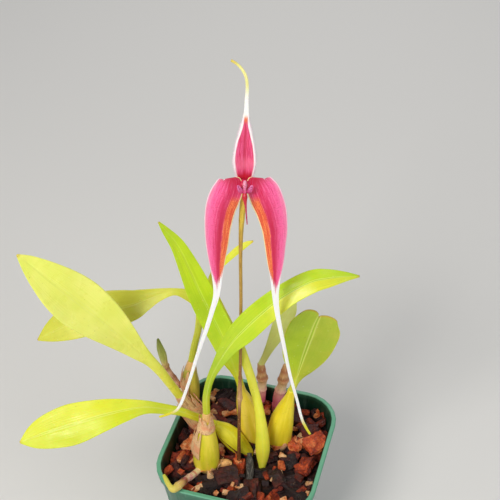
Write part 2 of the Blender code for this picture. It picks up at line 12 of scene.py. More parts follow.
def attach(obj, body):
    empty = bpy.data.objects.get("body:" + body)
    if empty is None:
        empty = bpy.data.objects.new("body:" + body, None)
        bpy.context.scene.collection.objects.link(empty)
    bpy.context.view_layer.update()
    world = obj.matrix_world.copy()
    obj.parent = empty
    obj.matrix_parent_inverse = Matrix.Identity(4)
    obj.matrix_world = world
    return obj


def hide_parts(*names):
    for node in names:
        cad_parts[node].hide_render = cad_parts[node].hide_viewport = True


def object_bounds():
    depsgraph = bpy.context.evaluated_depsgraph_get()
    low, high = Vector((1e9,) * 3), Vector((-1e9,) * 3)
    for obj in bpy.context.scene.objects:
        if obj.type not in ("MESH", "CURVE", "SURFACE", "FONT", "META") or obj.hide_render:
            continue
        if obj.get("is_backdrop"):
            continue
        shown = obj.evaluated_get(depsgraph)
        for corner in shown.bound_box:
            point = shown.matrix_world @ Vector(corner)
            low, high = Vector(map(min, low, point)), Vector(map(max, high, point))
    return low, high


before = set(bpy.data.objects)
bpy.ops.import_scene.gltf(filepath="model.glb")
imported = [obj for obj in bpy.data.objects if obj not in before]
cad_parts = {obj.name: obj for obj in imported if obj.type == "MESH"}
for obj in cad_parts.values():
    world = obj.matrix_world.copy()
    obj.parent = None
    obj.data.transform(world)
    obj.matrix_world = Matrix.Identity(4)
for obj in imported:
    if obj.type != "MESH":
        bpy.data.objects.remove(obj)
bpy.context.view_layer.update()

# Lengths are in millimetres until a mesh is finished
MM = 0.001
POT_TURN = Matrix.Rotation(math.radians(-16), 3, "Z")
POT_HEIGHT = 60
POT_HALF_FOOT, POT_HALF_TOP = 24, 31.5
POT_CORNER_FOOT, POT_CORNER_TOP = 10, 14
WALL_ROOM, CORNER_ROOM = 1.15, 1.1
BLADE_THICK = 0.36
STALK_HALF, STALK_FADE = 1.8, 1.5
HUSK_STATIONS, HUSK_ACROSS, HUSK_ALONG, HUSK_BODY = 60, 36, 26, 0.09
HAIR_RADIUS = 0.06


# Mesh helpers
def finish_mesh(bm, name, material, smooth=True):
    """Turn a mesh in millimetres into a piece in metres that rides on the plant."""
    bmesh.ops.recalc_face_normals(bm, faces=bm.faces[:])
    for vert in bm.verts:
        vert.co *= MM
    for face in bm.faces:
        face.smooth = smooth
    mesh = bpy.data.meshes.new(name)
    bm.to_mesh(mesh)
    bm.free()
    mesh.materials.append(material)
    item = bpy.data.objects.new(name, mesh)
    bpy.context.scene.collection.objects.link(item)
    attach(item, "root")
    return item


def smooth_rows(rows, count):
    """Catmull-Rom stations through the control rows, every column alike."""
    last = len(rows) - 1
    out = []
    for step in range(count + 1):
        spot = last * step / count
        base = min(int(spot), last - 1)
        t = spot - base
        near = [rows[min(max(base + away, 0), last)] for away in (-1, 0, 1, 2)]
        mixed = []
        for p, q, r, s in zip(*near):
            curve = 2 * q + (r - p) * t + (2 * p - 5 * q + 4 * r - s) * t * t
            curve += (3 * q - p - 3 * r + s) * t * t * t
            mixed.append(curve / 2)
        out.append(mixed)
    return out


def tangents(points):
    """Unit direction of travel at every station."""
    ahead = [*points[1:], points[-1]]
    behind = [points[0], *points[:-1]]
    return [(a - b).normalized() for a, b in zip(ahead, behind)]


def lengths(points):
    """Share of the whole length reached at every station."""
    total = [0]
    for a, b in zip(points, points[1:]):
        total.append(total[-1] + (b - a).length)
    return [value / total[-1] for value in total]


def spine(rows, count):
    """Points, directions, mixed rows and shares of the length along the control rows."""
    stations = smooth_rows(rows, count)
    points = [Vector(row[:3]) for row in stations]
    return points, tangents(points), stations, lengths(points)


def start_mesh():
    """Empty mesh with a sheet for its surface coordinates."""
    bm = bmesh.new()
    return bm, bm.loops.layers.uv.new("UVMap")


def sheet_face(bm, sheet, verts, spots):
    """Face whose corners have the given surface coordinates."""
    face = bm.faces.new(verts)
    for loop, spot in zip(face.loops, spots):
        loop[sheet].uv = spot


def close_slab(bm, sheet, upper, lower, spots):
    """Two skins of a thin sheet and the edges between them; spots holds each point's coordinates."""
    rows, columns = len(spots) - 1, len(spots[0]) - 1

    def patch(*corners):
        verts = [skin[row][column] for skin, row, column in corners]
        sheet_face(bm, sheet, verts, [spots[row][column] for skin, row, column in corners])

    for a in range(rows):
        for skin in (upper, lower):
            for b in range(columns):
                patch((skin, a, b), (skin, a, b + 1), (skin, a + 1, b + 1), (skin, a + 1, b))
        for b in (0, columns):
            patch((upper, a, b), (upper, a + 1, b), (lower, a + 1, b), (lower, a, b))
    for a in (0, rows):
        for b in range(columns):
            patch((upper, a, b), (upper, a, b + 1), (lower, a, b + 1), (lower, a, b))


def tube(name, rows, material, sides, count, ribs=0, rough=0, seed=0, bands=()):
    """Round body; each row is x, y, z, radius, and each band is a ring's share of the length, swell and width."""
    points, ways, stations, shares = spine(rows, count)
    side = ways[0].orthogonal().normalized()
    bm, sheet = start_mesh()
    rings = []
    for point, way, row, share in zip(points, ways, stations, shares):
        side = (side - way * side.dot(way)).normalized()
        other = way.cross(side)
        swell = 1
        for centre, height, width in bands:
            swell += height * math.exp(-(((share - centre) / width) ** 2))
        ring = []
        for index in range(sides):
            angle = 2 * math.pi * index / sides
            x, y = math.cos(angle), math.sin(angle)
            reach = row[3] * swell * (1 + ribs * math.cos(4 * angle))
            if rough:
                grain = Vector((x * 2.2, y * 2.2, share * 5 + seed))
                fine = Vector((x * 6, y * 6, share * 9 + seed))
                reach += rough * (noise.noise(grain) + 0.4 * noise.noise(fine))
            ring.append(bm.verts.new(point + (side * x + other * y) * reach))
        rings.append(ring)
    for row in range(count):
        low, high = shares[row], shares[row + 1]
        for index in range(sides):
            after = (index + 1) % sides
            left, right = index / sides, (index + 1) / sides
            corners = (rings[row][index], rings[row][after], rings[row + 1][after], rings[row + 1][index])
            sheet_face(bm, sheet, corners, ((left, low), (right, low), (right, high), (left, high)))
    sheet_face(bm, sheet, list(reversed(rings[0])), [(0.5, 0)] * sides)
    sheet_face(bm, sheet, rings[-1], [(0.5, 1)] * sides)
    return finish_mesh(bm, name, material)


def broadness(half):
    """Share from a round stalk, 0, to a broad blade, 1."""
    return min(1, max(0, (half - STALK_HALF) / STALK_FADE))


def blade_frames(rows, count):
    """Stations of a blade with the directions across it and out of its face."""
    out = []
    for point, way, row, share in zip(*spine(rows, count)):
        across = way.cross(Vector(row[6:9])).normalized()
        normal = across.cross(way).normalized()
        out.append((point, way, across, normal, row, share))
    return out


def blade(name, rows, material, count, steps, notch=0, wave=0, groove=0, edge=0.14, flip=False):
    """Thin leaf-like body. Each row: x, y, z, half width, half thickness, fold, and the way it faces."""
    bm, sheet = start_mesh()
    upper, lower, spots = [], [], []
    for point, way, across, normal, row, share in blade_frames(rows, count):
        half, thick, fold = max(row[3], 0.3), row[4], row[5]
        thin = 0.6 * thick if thick < 0.45 else thick - 0.18
        rim = min(thin, edge)
        flat = broadness(half)
        push = notch * max(0, (share - 0.84) / 0.16) ** 1.3
        upper.append([])
        lower.append([])
        spots.append([])
        for step in range(steps + 1):
            u = 2 * step / steps - 1
            size = abs(u)
            lift = fold * half * size**1.4
            lift += wave * flat * size * math.sin(share * 23 + (2.1 if u < 0 else 0)) * 0.6
            lift += wave * flat * noise.noise(Vector((u * 1.5, share * 6, len(name))))
            lift -= groove * flat * math.exp(-((u / 0.07) ** 2))
            body = rim + (thin - rim) * (1 - u * u) ** 0.6
            keel = groove * flat * math.exp(-((u / 0.1) ** 2))
            centre = point + across * half * u + normal * lift
            lobe = math.sqrt(max(0, 1 - (2 * size - 1) ** 2)) * (1.25 if u < 0 else 0.75)
            centre += way * push * lobe
            upper[-1].append(bm.verts.new(centre + normal * body))
            lower[-1].append(bm.verts.new(centre - normal * (body + keel)))
            spots[-1].append((1 - step / steps if flip else step / steps, share))
    close_slab(bm, sheet, upper, lower, spots)
    return finish_mesh(bm, name, material)


def facing_rows(rows, first, last, fold=0):
    """Complete short rows with a fold and a facing that turns evenly from first to last."""
    out = []
    for index, row in enumerate(rows):
        t = index / (len(rows) - 1)
        way = [a + (b - a) * t for a, b in zip(first, last)]
        thick = row[4] if len(row) > 4 else BLADE_THICK
        out.append([*row[:4], thick, fold * broadness(row[3]), *way])
    return out


def husk(name, rows, material, low, high, middle, spread, lift, flare, seed):
    """Torn papery wrap over part of a round body, from share low to high, centred on an angle."""
    points, ways, stations, _ = spine(rows, HUSK_STATIONS)
    bm, sheet = start_mesh()
    grid, spots = [], []
    for step in range(HUSK_ALONG + 1):
        rise = step / HUSK_ALONG
        line = []
        for index in range(HUSK_ACROSS + 1):
            t = index / HUSK_ACROSS
            tear = 0.72 + 0.5 * noise.noise(Vector((t * 5, seed, 2))) + 0.16 * noise.noise(Vector((t * 21, seed, 5)))
            share = low + (high - low) * min(max(tear, 0.2), 1) * rise
            spot = share * HUSK_STATIONS
            base = min(int(spot), HUSK_STATIONS - 1)
            f = spot - base
            centre = points[base].lerp(points[base + 1], f)
            way = ways[base].lerp(ways[base + 1], f).normalized()
            radius = stations[base][3] * (1 - f) + stations[base + 1][3] * f
            front = (Vector((0, -1, 0)) - way * Vector((0, -1, 0)).dot(way)).normalized()
            angle = math.radians(middle + spread * (t - 0.5))
            rim = abs(2 * t - 1)
            puff = lift + flare * rise**3 * (0.4 + rim) + 0.3 * rim**4
            puff += 0.22 * noise.noise(Vector((t * 7, rise * 3, seed + 9)))
            out = front * math.cos(angle) + way.cross(front) * math.sin(angle)
            line.append((centre + out * (radius * 1.05 + puff), out))
        grid.append(line)
        spots.append([(index / HUSK_ACROSS, rise) for index in range(HUSK_ACROSS + 1)])
    skins = []
    for reach in (HUSK_BODY, -HUSK_BODY):
        skins.append([[bm.verts.new(spot + out * reach) for spot, out in line] for line in grid])
    close_slab(bm, sheet, *skins, spots)
    piece = finish_mesh(bm, name, material)
    return piece


# Material helpers
def shade(red, green, blue):
    """Linear colour from display values of 0 to 255."""
    out = []
    for value in (red, green, blue):
        x = value / 255
        out.append(x / 12.92 if x <= 0.04045 else ((x + 0.055) / 1.055) ** 2.4)
    return (*out, 1)


class Paint:
    """One procedural material and its few node steps; colours are display values of 0 to 255."""

    def __init__(self, name):
        self.material = bpy.data.materials.new(name)
        self.material.use_nodes = True
        self.tree = self.material.node_tree
        self.shader = self.tree.nodes["Principled BSDF"]
        spots = self.node("TexCoord")
        self.place = spots.outputs["Object"]
        self.u, self.v, _ = self.parts(spots.outputs["UV"])

    def put(self, socket, value):
        """Link a socket, or set a number or a colour."""
        if isinstance(value, bpy.types.NodeSocket):
            self.tree.links.new(value, socket)
        else:
            socket.default_value = shade(*value) if isinstance(value, tuple) else value

    def node(self, kind, *values):
        """New node whose first inputs take the values in turn."""
        node = self.tree.nodes.new("ShaderNode" + kind)
        for socket, value in zip(node.inputs, values):
            self.put(socket, value)
        return node

    def parts(self, vector):
        """X, Y and Z of a vector."""
        return self.node("SeparateXYZ", vector).outputs

    def calc(self, operation, a, b=0):
        node = self.node("Math", a, b)
        node.operation = operation
        return node.outputs[0]

    def plus(self, a, b):
        return self.calc("ADD", a, b)

    def times(self, a, b):
        return self.calc("MULTIPLY", a, b)

    def shift(self, value, cloud, size):
        """Value moved up or down by a cloud, by half the size at most."""
        return self.plus(value, self.times(self.calc("SUBTRACT", cloud, 0.5), size))

    def off_middle(self):
        """0 on the midrib to 1 at both edges."""
        return self.calc("ABSOLUTE", self.calc("SUBTRACT", self.times(self.u, 2), 1))

    def span(self, value, low, high, out_low=0, out_high=1):
        """Smooth step of a value between low and high."""
        node = self.node("MapRange", value, low, high, out_low, out_high)
        node.interpolation_type = "SMOOTHSTEP"
        return node.outputs[0]

    def mix(self, factor, a, b):
        node = self.node("Mix")
        node.data_type = "RGBA"
        for index, value in ((0, factor), (6, a), (7, b)):
            self.put(node.inputs[index], value)
        return node.outputs[2]

    def over(self, colour, *layers):
        """Lay tints over a colour; each layer is value, low, high, share of the tint at high, and tint."""
        for value, low, high, share, tint in layers:
            colour = self.mix(self.span(value, low, high, 0, share), colour, tint)
        return colour

    def ramp(self, factor, stops):
        node = self.node("ValToRGB", factor)
        items = node.color_ramp.elements
        while len(items) < len(stops):
            items.new(0.5)
        for item, (spot, colour) in zip(items, stops):
            item.position = spot
            item.color = shade(*colour)
        return node.outputs[0]

    def warp(self, flat, up):
        """Object position, scaled alike in X and Y."""
        node = self.node("Mapping", self.place)
        node.inputs["Scale"].default_value = (flat, flat, up)
        return node.outputs[0]

    def cloud(self, scale, detail=3, rough=0.55, source=None, bend=0):
        """Soft noise, by object position unless a source is given."""
        node = self.node("TexNoise", source or self.place)
        for name, value in (("Scale", scale), ("Detail", detail), ("Roughness", rough), ("Distortion", bend)):
            node.inputs[name].default_value = value
        return node.outputs[0]

    def fibres(self, across, along, seed, detail, rough, bend=0):
        """Noise on the surface coordinates, finer across than along or the other way round."""
        where = self.node("CombineXYZ", self.times(self.u, across), self.times(self.v, along), seed)
        return self.cloud(1, detail, rough, where.outputs[0], bend)

    def cells(self, scale):
        """Distance to the nearest of scattered points."""
        node = self.node("TexVoronoi", self.place)
        node.inputs["Scale"].default_value = scale
        return node.outputs["Distance"]

    def sum(self, *layers):
        """Sum of values, each with its weight."""
        total = 0
        for value, weight in layers:
            total = self.plus(total, self.times(value, weight))
        return total

    def done(self, colour, rough, height=(), strength=0.3, depth=0.0003, glow=None):
        """Fill the shader: height is weighted values, glow is the subsurface weight and scale."""
        self.put(self.shader.inputs["Base Color"], colour)
        self.put(self.shader.inputs["Roughness"], rough)
        if height:
            bump = self.node("Bump")
            bump.inputs["Strength"].default_value = strength
            bump.inputs["Distance"].default_value = depth
            self.put(bump.inputs["Height"], self.sum(*height))
            self.tree.links.new(bump.outputs[0], self.shader.inputs["Normal"])
        if glow:
            self.shader.inputs["Subsurface Weight"].default_value = glow[0]
            self.shader.inputs["Subsurface Scale"].default_value = glow[1]
        return self.material


def leaf_paint(name, stalk, face, dark, rim, seed, gloss, half, crease):
    """Waxy leaf: fine veins, a midrib darkened by painted shade along its crease, cloudy tone, specks and dust; half
    gives painted light and shade on the side at u > 0.5.
    """
    p = Paint(name)
    off = p.off_middle()
    veins = p.fibres(46, 5, seed, 2, 0.5)
    cross = p.fibres(9, 30, seed, 3, 0.6)
    colour = p.mix(p.span(p.v, 0.04, 0.42), stalk, face)
    if half:
        # Painted light and shade: the half of the folded leaf at u > 0.5 takes a tint for how light falls on it
        tint, start, full = half
        colour = p.mix(p.times(p.span(p.u, 0.51, 0.55), p.span(p.v, start, full)), colour, tint)
    colour = p.over(
        colour,
        (p.cloud(38 + seed, 3, 0.6), 0.38, 0.68, 0.6, dark), (veins, 0.52, 0.66, 0.28, dark),
        (cross, 0.56, 0.7, 0.2, stalk),
    )
    # Painted shade: the middle band darkens towards the dark colour along the midrib crease, by the crease strength
    middle = p.times(p.span(off, 0.05, 0), p.span(p.v, 0.08, 0.3, 0, crease))
    ridge = p.times(p.span(off, 0.12, 0.05), p.span(off, 0.02, 0.05, 0, crease))
    colour = p.mix(ridge, p.mix(middle, colour, dark), (240, 244, 140))
    colour = p.over(
        colour,
        (off, 0.95, 1, 0.7, rim), (p.cloud(900, 2, 0.6), 0.7, 0.76, 0.35, (120, 100, 30)),
        (p.cells(420), 0.12, 0.05, 0.22, (246, 246, 200)), (p.v, 0.985, 1, 0.55, (200, 150, 40)),
    )
    rough = p.span(p.cloud(160), 0.3, 0.7, gloss - 0.08, gloss + 0.14)
    return p.done(colour, rough, [(veins, 0.8), (p.cloud(1300), 0.35)], 0.35, 0.00025, (0.12, 0.002))


def bulb_paint(name, green, gold, dry, neck, seed):
    """Waxy bulb skin with soft streaks, brown scuffs, a wrinkled tan foot and a papery neck."""
    p = Paint(name)
    streaks = p.fibres(13, 2.2, seed, 4, 0.55)
    fine = p.fibres(60, 5, seed, 4, 0.6)
    blotch = p.cloud(150 + seed, 4, 0.6)
    scuffs = p.cloud(620, 3, 0.65)
    veil = p.sum((streaks, 0.55), (blotch, 0.5))
    ends = p.plus(p.span(p.v, 0.84, 0.99, 0, neck), p.span(p.v, 0.3, 0.12, 0, 0.3))
    colour = p.over(
        p.mix(p.span(streaks, 0.3, 0.72), green, gold),
        (blotch, 0.5, 0.72, 0.35, green), (p.plus(veil, p.plus(ends, dry)), 0.68, 0.86, 0.85, (232, 178, 118)),
        (scuffs, 0.63, 0.72, 0.45, (150, 100, 44)), (fine, 0.6, 0.74, 0.3, (246, 234, 140)),
    )
    rough = p.span(veil, 0.4, 0.75, 0.3, 0.55)
    return p.done(colour, rough, [(fine, 0.7), (scuffs, 0.35)], 0.45, 0.0005, (0.08, 0.002))


def sheath_paint(name, base, pink, seed):
    """Dry papery sheath: lengthwise fibres, rose flush, brown spots."""
    p = Paint(name)
    fibres = p.fibres(34, 6, seed, 5, 0.65)
    blotch = p.cloud(330, 4, 0.6)
    spots = p.cloud(900, 3, 0.6)
    colour = p.over(
        p.mix(p.span(fibres, 0.3, 0.5), (150, 94, 60), base),
        (blotch, 0.44, 0.62, 0.8, pink), (fibres, 0.6, 0.72, 0.6, (240, 220, 178)),
        (spots, 0.62, 0.72, 0.55, (110, 58, 36)),
    )
    return p.done(colour, p.span(blotch, 0.3, 0.7, 0.5, 0.8), [(fibres, 1), (spots, 0.35)], 0.7, 0.0006)


def sepal_paint():
    """Side sepal: crimson-pink web of veins, orange band at the inner edge, white tail, yellow tip."""
    p = Paint("side_sepal_skin")
    x = p.shift(p.u, p.cloud(420, 3, 0.6), 0.1)
    lines = p.fibres(34, 14, 2, 4, 0.6, 0.8)
    cross = p.fibres(16, 240, 2, 3, 0.6)
    colour = p.over(
        p.mix(p.span(x, 0.42, 0.85), (222, 36, 96), (250, 98, 158)),
        (lines, 0.46, 0.64, 0.55, (254, 130, 178)), (lines, 0.46, 0.34, 0.5, (206, 20, 78)),
        (cross, 0.54, 0.66, 0.35, (192, 24, 76)), (p.cells(1900), 0.36, 0.08, 0.3, (186, 16, 66)),
    )
    band = p.times(p.span(x, 0.28, 0.38), p.span(x, 0.66, 0.42))
    colour = p.mix(p.times(band, p.span(p.v, 0.06, 0.16, 0.3, 0.9)), colour, (196, 12, 66))
    colour = p.over(colour, (p.v, 0.035, 0, 0.7, (178, 12, 44)))
    orange = p.mix(p.span(lines, 0.4, 0.6), (230, 80, 44), (250, 140, 78))
    orange = p.over(orange, (cross, 0.5, 0.6, 0.5, (206, 48, 36)))
    patch = p.times(p.span(x, 0.36, 0.27), p.span(p.v, 0.045, 0.075))
    colour = p.mix(p.times(patch, p.span(p.v, 0.38, 0.33)), colour, orange)
    colour = p.over(colour, (p.u, 0.05, 0.025, 1, (255, 232, 176)))
    pale = p.plus(p.span(p.u, 0.955, 0.985, 0, 0.8), p.span(p.u, 0.8, 0.97, 0, 0.2))
    colour = p.mix(pale, colour, (250, 214, 224))
    wedge = p.times(p.calc("ABSOLUTE", p.calc("SUBTRACT", p.u, 0.55)), 0.12)
    colour = p.over(
        colour,
        (p.plus(p.shift(p.v, lines, 0.12), wedge), 0.372, 0.4, 1, (253, 250, 248)),
        (p.v, 0.9, 0.965, 1, (228, 216, 40)),
    )
    height = [(lines, 1), (cross, 0.4), (p.cloud(2600, 2, 0.5), 0.5)]
    return p.done(colour, p.span(lines, 0.3, 0.7, 0.4, 0.6), height, 0.4, 0.0003, (0.15, 0.0015))


def dorsal_paint():
    """Upper sepal: pink with a dark middle, broad white rim, orange neck, white to yellow tail."""
    p = Paint("upper_sepal_skin")
    off = p.off_middle()
    lines = p.fibres(26, 9, 3, 4, 0.6, 0.5)
    colour = p.over(
        p.mix(p.span(lines, 0.36, 0.64), (206, 34, 84), (240, 98, 148)),
        (p.cells(1700), 0.36, 0.08, 0.3, (186, 16, 62)), (off, 0.26, 0.02, 0.65, (184, 12, 56)),
    )
    light = p.times(p.span(p.v, 0.08, 0.14), p.span(p.v, 0.24, 0.16, 0, 0.55))
    rim = p.plus(p.shift(off, lines, 0.25), p.span(p.v, 0.28, 0.52, 0, 0.36))
    colour = p.over(
        p.mix(light, colour, (244, 116, 150)),
        (p.v, 0.1, 0.05, 0.9, (190, 18, 42)), (p.v, 0.022, 0.008, 0.8, (250, 206, 130)),
        (rim, 0.78, 0.92, 1, (254, 238, 240)),
    )
    torn = p.shift(p.v, lines, 0.06)
    neck = p.times(p.span(torn, 0.475, 0.52), p.span(off, 0.8, 0.3))
    colour = p.over(
        p.mix(p.times(neck, 0.85), colour, (240, 128, 60)),
        (torn, 0.515, 0.56, 1, (254, 251, 244)), (p.v, 0.66, 0.8, 1, (240, 232, 148)),
        (p.v, 0.9, 1, 1, (210, 190, 76)),
    )
    return p.done(colour, 0.5, [(lines, 1), (p.cloud(2600, 2), 0.5)], 0.4, 0.0003, (0.15, 0.0015))


def petal_paint(name, low, high, dots):
    """Small inner flower parts."""
    p = Paint(name)
    spots = p.cloud(1700, 3, 0.6)
    colour = p.over(p.mix(p.span(p.v, 0.1, 0.9), low, high), (spots, 0.5, 0.62, 0.8, dots))
    return p.done(colour, 0.42, [(spots, 1)], 0.4, 0.0002, (0.15, 0.001))


def stem_paint():
    """Flower stem: dark brown foot, tan bract, ochre length, yellow top with brown flecks."""
    p = Paint("stem_skin")
    stops = [
        (0, (96, 52, 26)), (0.24, (128, 76, 40)), (0.3, (206, 160, 112)), (0.38, (150, 100, 44)),
        (0.55, (176, 132, 56)), (0.85, (206, 164, 66)), (0.93, (232, 202, 66)), (1, (236, 204, 70)),
    ]
    streaks = p.fibres(16, 30, 2, 4, 0.6)
    colour = p.over(
        p.ramp(p.shift(p.v, p.cloud(120), 0.04), stops),
        (streaks, 0.5, 0.68, 0.5, (92, 54, 22)), (p.cloud(1400, 2), 0.6, 0.7, 0.5, (226, 200, 120)),
    )
    return p.done(colour, 0.5, [(streaks, 1)], 0.5, 0.0003)


SHOOT_TONES = [
    (0, (210, 112, 128)), (0.34, (232, 110, 146)), (0.5, (244, 168, 164)), (0.6, (244, 214, 176)),
    (0.7, (234, 190, 142)), (0.76, (178, 112, 76)), (0.82, (222, 174, 122)), (0.9, (184, 116, 84)),
    (1, (206, 160, 106)),
]
BUD_TONES = [
    (0, (150, 92, 62)), (0.12, (214, 164, 140)), (0.24, (160, 104, 78)), (0.34, (222, 176, 150)),
    (0.45, (170, 112, 78)), (0.54, (206, 176, 110)), (0.64, (188, 190, 96)), (0.9, (166, 178, 84)),
    (1, (140, 150, 60)),
]


def shoot_paint(name, tones):
    """Shoot in dry sheaths: tones from foot to tip under pale and dark fibres and brown spots."""
    p = Paint(name)
    fibres = p.fibres(22, 8, 3, 5, 0.65)
    spots = p.cloud(900, 3, 0.6)
    colour = p.over(
        p.ramp(p.shift(p.v, fibres, 0.08), tones),
        (fibres, 0.54, 0.7, 0.6, (246, 224, 190)), (fibres, 0.44, 0.3, 0.5, (128, 74, 62)),
        (spots, 0.62, 0.72, 0.45, (110, 58, 46)),
    )
    return p.done(colour, 0.6, [(fibres, 1), (spots, 0.3)], 0.6, 0.0005)


def creeper_paint():
    """Creeping stem: cream with rose streaks, brown joints, a yellow-green growing end."""
    p = Paint("creeper_skin")
    fibres = p.fibres(12, 7, 8, 4, 0.6)
    spots = p.cloud(1100, 3, 0.6)
    stops = [
        (0, (236, 206, 150)), (0.16, (240, 222, 170)), (0.2, (206, 110, 96)), (0.24, (240, 214, 176)),
        (0.42, (236, 196, 170)), (0.47, (176, 96, 60)), (0.52, (134, 78, 44)), (0.6, (216, 172, 104)),
        (0.8, (214, 200, 80)), (1, (196, 196, 60)),
    ]
    rose = p.times(p.span(fibres, 0.48, 0.62, 0, 0.8), p.span(p.v, 0.7, 0.5))
    colour = p.over(
        p.mix(rose, p.ramp(p.v, stops), (214, 110, 130)),
        (fibres, 0.4, 0.3, 0.6, (250, 240, 200)), (spots, 0.62, 0.72, 0.5, (130, 80, 50)),
    )
    return p.done(colour, 0.5, [(fibres, 1), (spots, 0.3)], 0.5, 0.0004)


def dry_root_paint():
    """Dead grey root: dark cracked skin with pale ridges."""
    p = Paint("dry_root_skin")
    grain = p.fibres(14, 5, 1, 5, 0.7)
    stops = [(0.3, (26, 24, 24)), (0.5, (62, 58, 54)), (0.62, (128, 122, 112)), (0.75, (196, 188, 170))]
    return p.done(p.ramp(grain, stops), 0.8, [(grain, 1)], 1, 0.001)


def bark_paint():
    """Damp split bark: tone by piece, dark wet skins, orange torn faces, grain and pits."""
    p = Paint("bark_chips")
    grain = p.cloud(1, 5, 0.68, p.warp(260, 900), 0.8)
    rot = p.cloud(170, 5, 0.65)
    pits = p.cloud(1500, 3, 0.7)
    stops = [
        (0, (20, 10, 12)), (0.26, (44, 18, 20)), (0.42, (78, 28, 22)), (0.56, (126, 38, 16)),
        (0.7, (196, 74, 28)), (0.84, (228, 132, 72)), (1, (240, 196, 144)),
    ]
    colour = p.over(
        p.ramp(p.shift(p.shift(p.u, rot, 0.85), grain, 0.5), stops),
        (pits, 0.56, 0.68, 0.7, (22, 9, 7)), (p.cells(700), 0.16, 0.05, 0.35, (196, 140, 92)),
    )
    return p.done(colour, p.span(rot, 0.35, 0.65, 0.28, 0.8), [(grain, 1), (pits, 0.5)], 0.9, 0.0012)


def soil_paint():
    """Dark packed fines under the chips."""
    p = Paint("bark_fines")
    lumps = p.cloud(420, 5, 0.7)
    colour = p.mix(p.span(lumps, 0.4, 0.66), (16, 8, 6), (66, 28, 18))
    colour = p.over(colour, (p.cells(900), 0.2, 0.06, 0.5, (120, 66, 40)))
    return p.done(colour, 0.85, [(lumps, 1)], 1, 0.0015)


def pot_paint():
    """Thin green moulded plastic: painted highlight on the upward faces of the rim, painted shade on the inside,
    cloudy film, scuffs, mineral marks by the foot.
    """
    p = Paint("pot_green")
    film = p.cloud(90, 4, 0.6)
    streaks = p.cloud(1, 3, 0.6, p.warp(420, 36))
    scuffs = p.cloud(1, 4, 0.7, p.warp(1500, 240))
    x, y, up = p.parts(p.place)
    way_x, way_y, way_up = p.parts(p.node("NewGeometry").outputs["True Normal"])
    # Position along the normal: below zero on the inside faces of the wall
    outward = p.plus(p.times(x, way_x), p.times(y, way_y))
    # Painted highlight: the upward faces at the top of the rim turn pale green, lighter than the same plastic
    # elsewhere
    rim = p.times(p.span(up, 0.0575, 0.0592), p.span(way_up, 0.1, 0.7, 0.12, 0.85))
    marks = p.times(p.span(streaks, 0.5, 0.72), p.span(up, 0.022, 0, 0.12, 0.5))
    colour = p.mix(p.span(film, 0.35, 0.65), (26, 88, 64), (40, 110, 82))
    # Painted shade: faces on the inside of the wall are darkened towards near-black green
    colour = p.over(colour, (outward, 0.004, -0.004, 0.88, (6, 34, 22)))
    # The pale rim colour mixed in here is the painted highlight; the paler streaks by the foot are mineral marks
    colour = p.mix(marks, p.mix(rim, colour, (96, 168, 132)), (150, 176, 160))
    colour = p.over(colour, (scuffs, 0.64, 0.74, 0.3, (120, 168, 146)))
    rough = p.span(film, 0.3, 0.7, 0.28, 0.46)
    return p.done(colour, rough, [(p.cloud(2600, 2), 0.5), (scuffs, 0.3)], 0.16, 0.0002)


# Bulbs: x, y, z, radius from foot to neck, in millimetres
BULBS = {
    "pseudobulb_1": [
        (-16.4, -6.8, 46.5, 1.8), (-16.5, -6.9, 50.5, 3.2), (-16.7, -7, 54.5, 5), (-16.8, -7, 59.5, 5.5),
        (-16.8, -7, 65.5, 5.1), (-16.6, -7.1, 72.5, 3.9), (-16.3, -7.3, 79, 2.4), (-16, -7.5, 85.1, 1.5),
    ],
    "pseudobulb_2": [
        (3.4, 7, 46.5, 1.8), (3, 6.7, 51, 3.2), (2.3, 6.5, 56, 4.6), (1.3, 6.3, 62, 4.8), (0, 6.3, 69, 4.5),
        (-1.6, 6.4, 77, 3.2), (-2.5, 6.5, 82, 1.9), (-2.9, 6.5, 85.8, 1.45),
    ],
    "pseudobulb_3": [
        (12.2, 5.5, 46.5, 2), (12.4, 5.3, 51, 3.6), (12.8, 5, 56, 5), (13.3, 4.8, 62, 5.2), (14, 4.5, 68, 4.7),
        (15.4, 4.5, 75, 3.3), (16.6, 4.5, 80.5, 2), (17.3, 4.5, 84.9, 1.45),
    ],
    "pseudobulb_4": [
        (-12.6, 13.4, 47, 1.7), (-14.4, 12.6, 51, 2.7), (-17, 11.7, 55.5, 3.8), (-20.5, 10.5, 61.5, 4.1),
        (-23.8, 9.5, 68.5, 3.5), (-26.1, 9, 73.6, 2.5), (-27.6, 8.6, 77.4, 2),
    ],
    "pseudobulb_5": [
        (-20.5, 17.5, 47, 1.5), (-21.3, 17.9, 54, 1.6), (-22.3, 18.2, 59.5, 1.9), (-22.9, 18.5, 64, 2.6),
        (-23.4, 18.5, 69, 3.5), (-23.8, 18.5, 74.5, 3.8), (-23.5, 18.4, 81, 2.8), (-22.8, 18.1, 87.6, 1.4),
    ],
    "pseudobulb_6": [
        (1, -0.3, 47.5, 1.7), (-0.3, -0.3, 52.4, 2.6), (-3.4, -0.2, 57, 3.7), (-6.3, -0.1, 61.3, 4.1),
        (-9.4, 0, 65.4, 3.5), (-12, 0, 68.4, 2.2), (-13.4, -0.1, 69.8, 1.7),
    ],
}
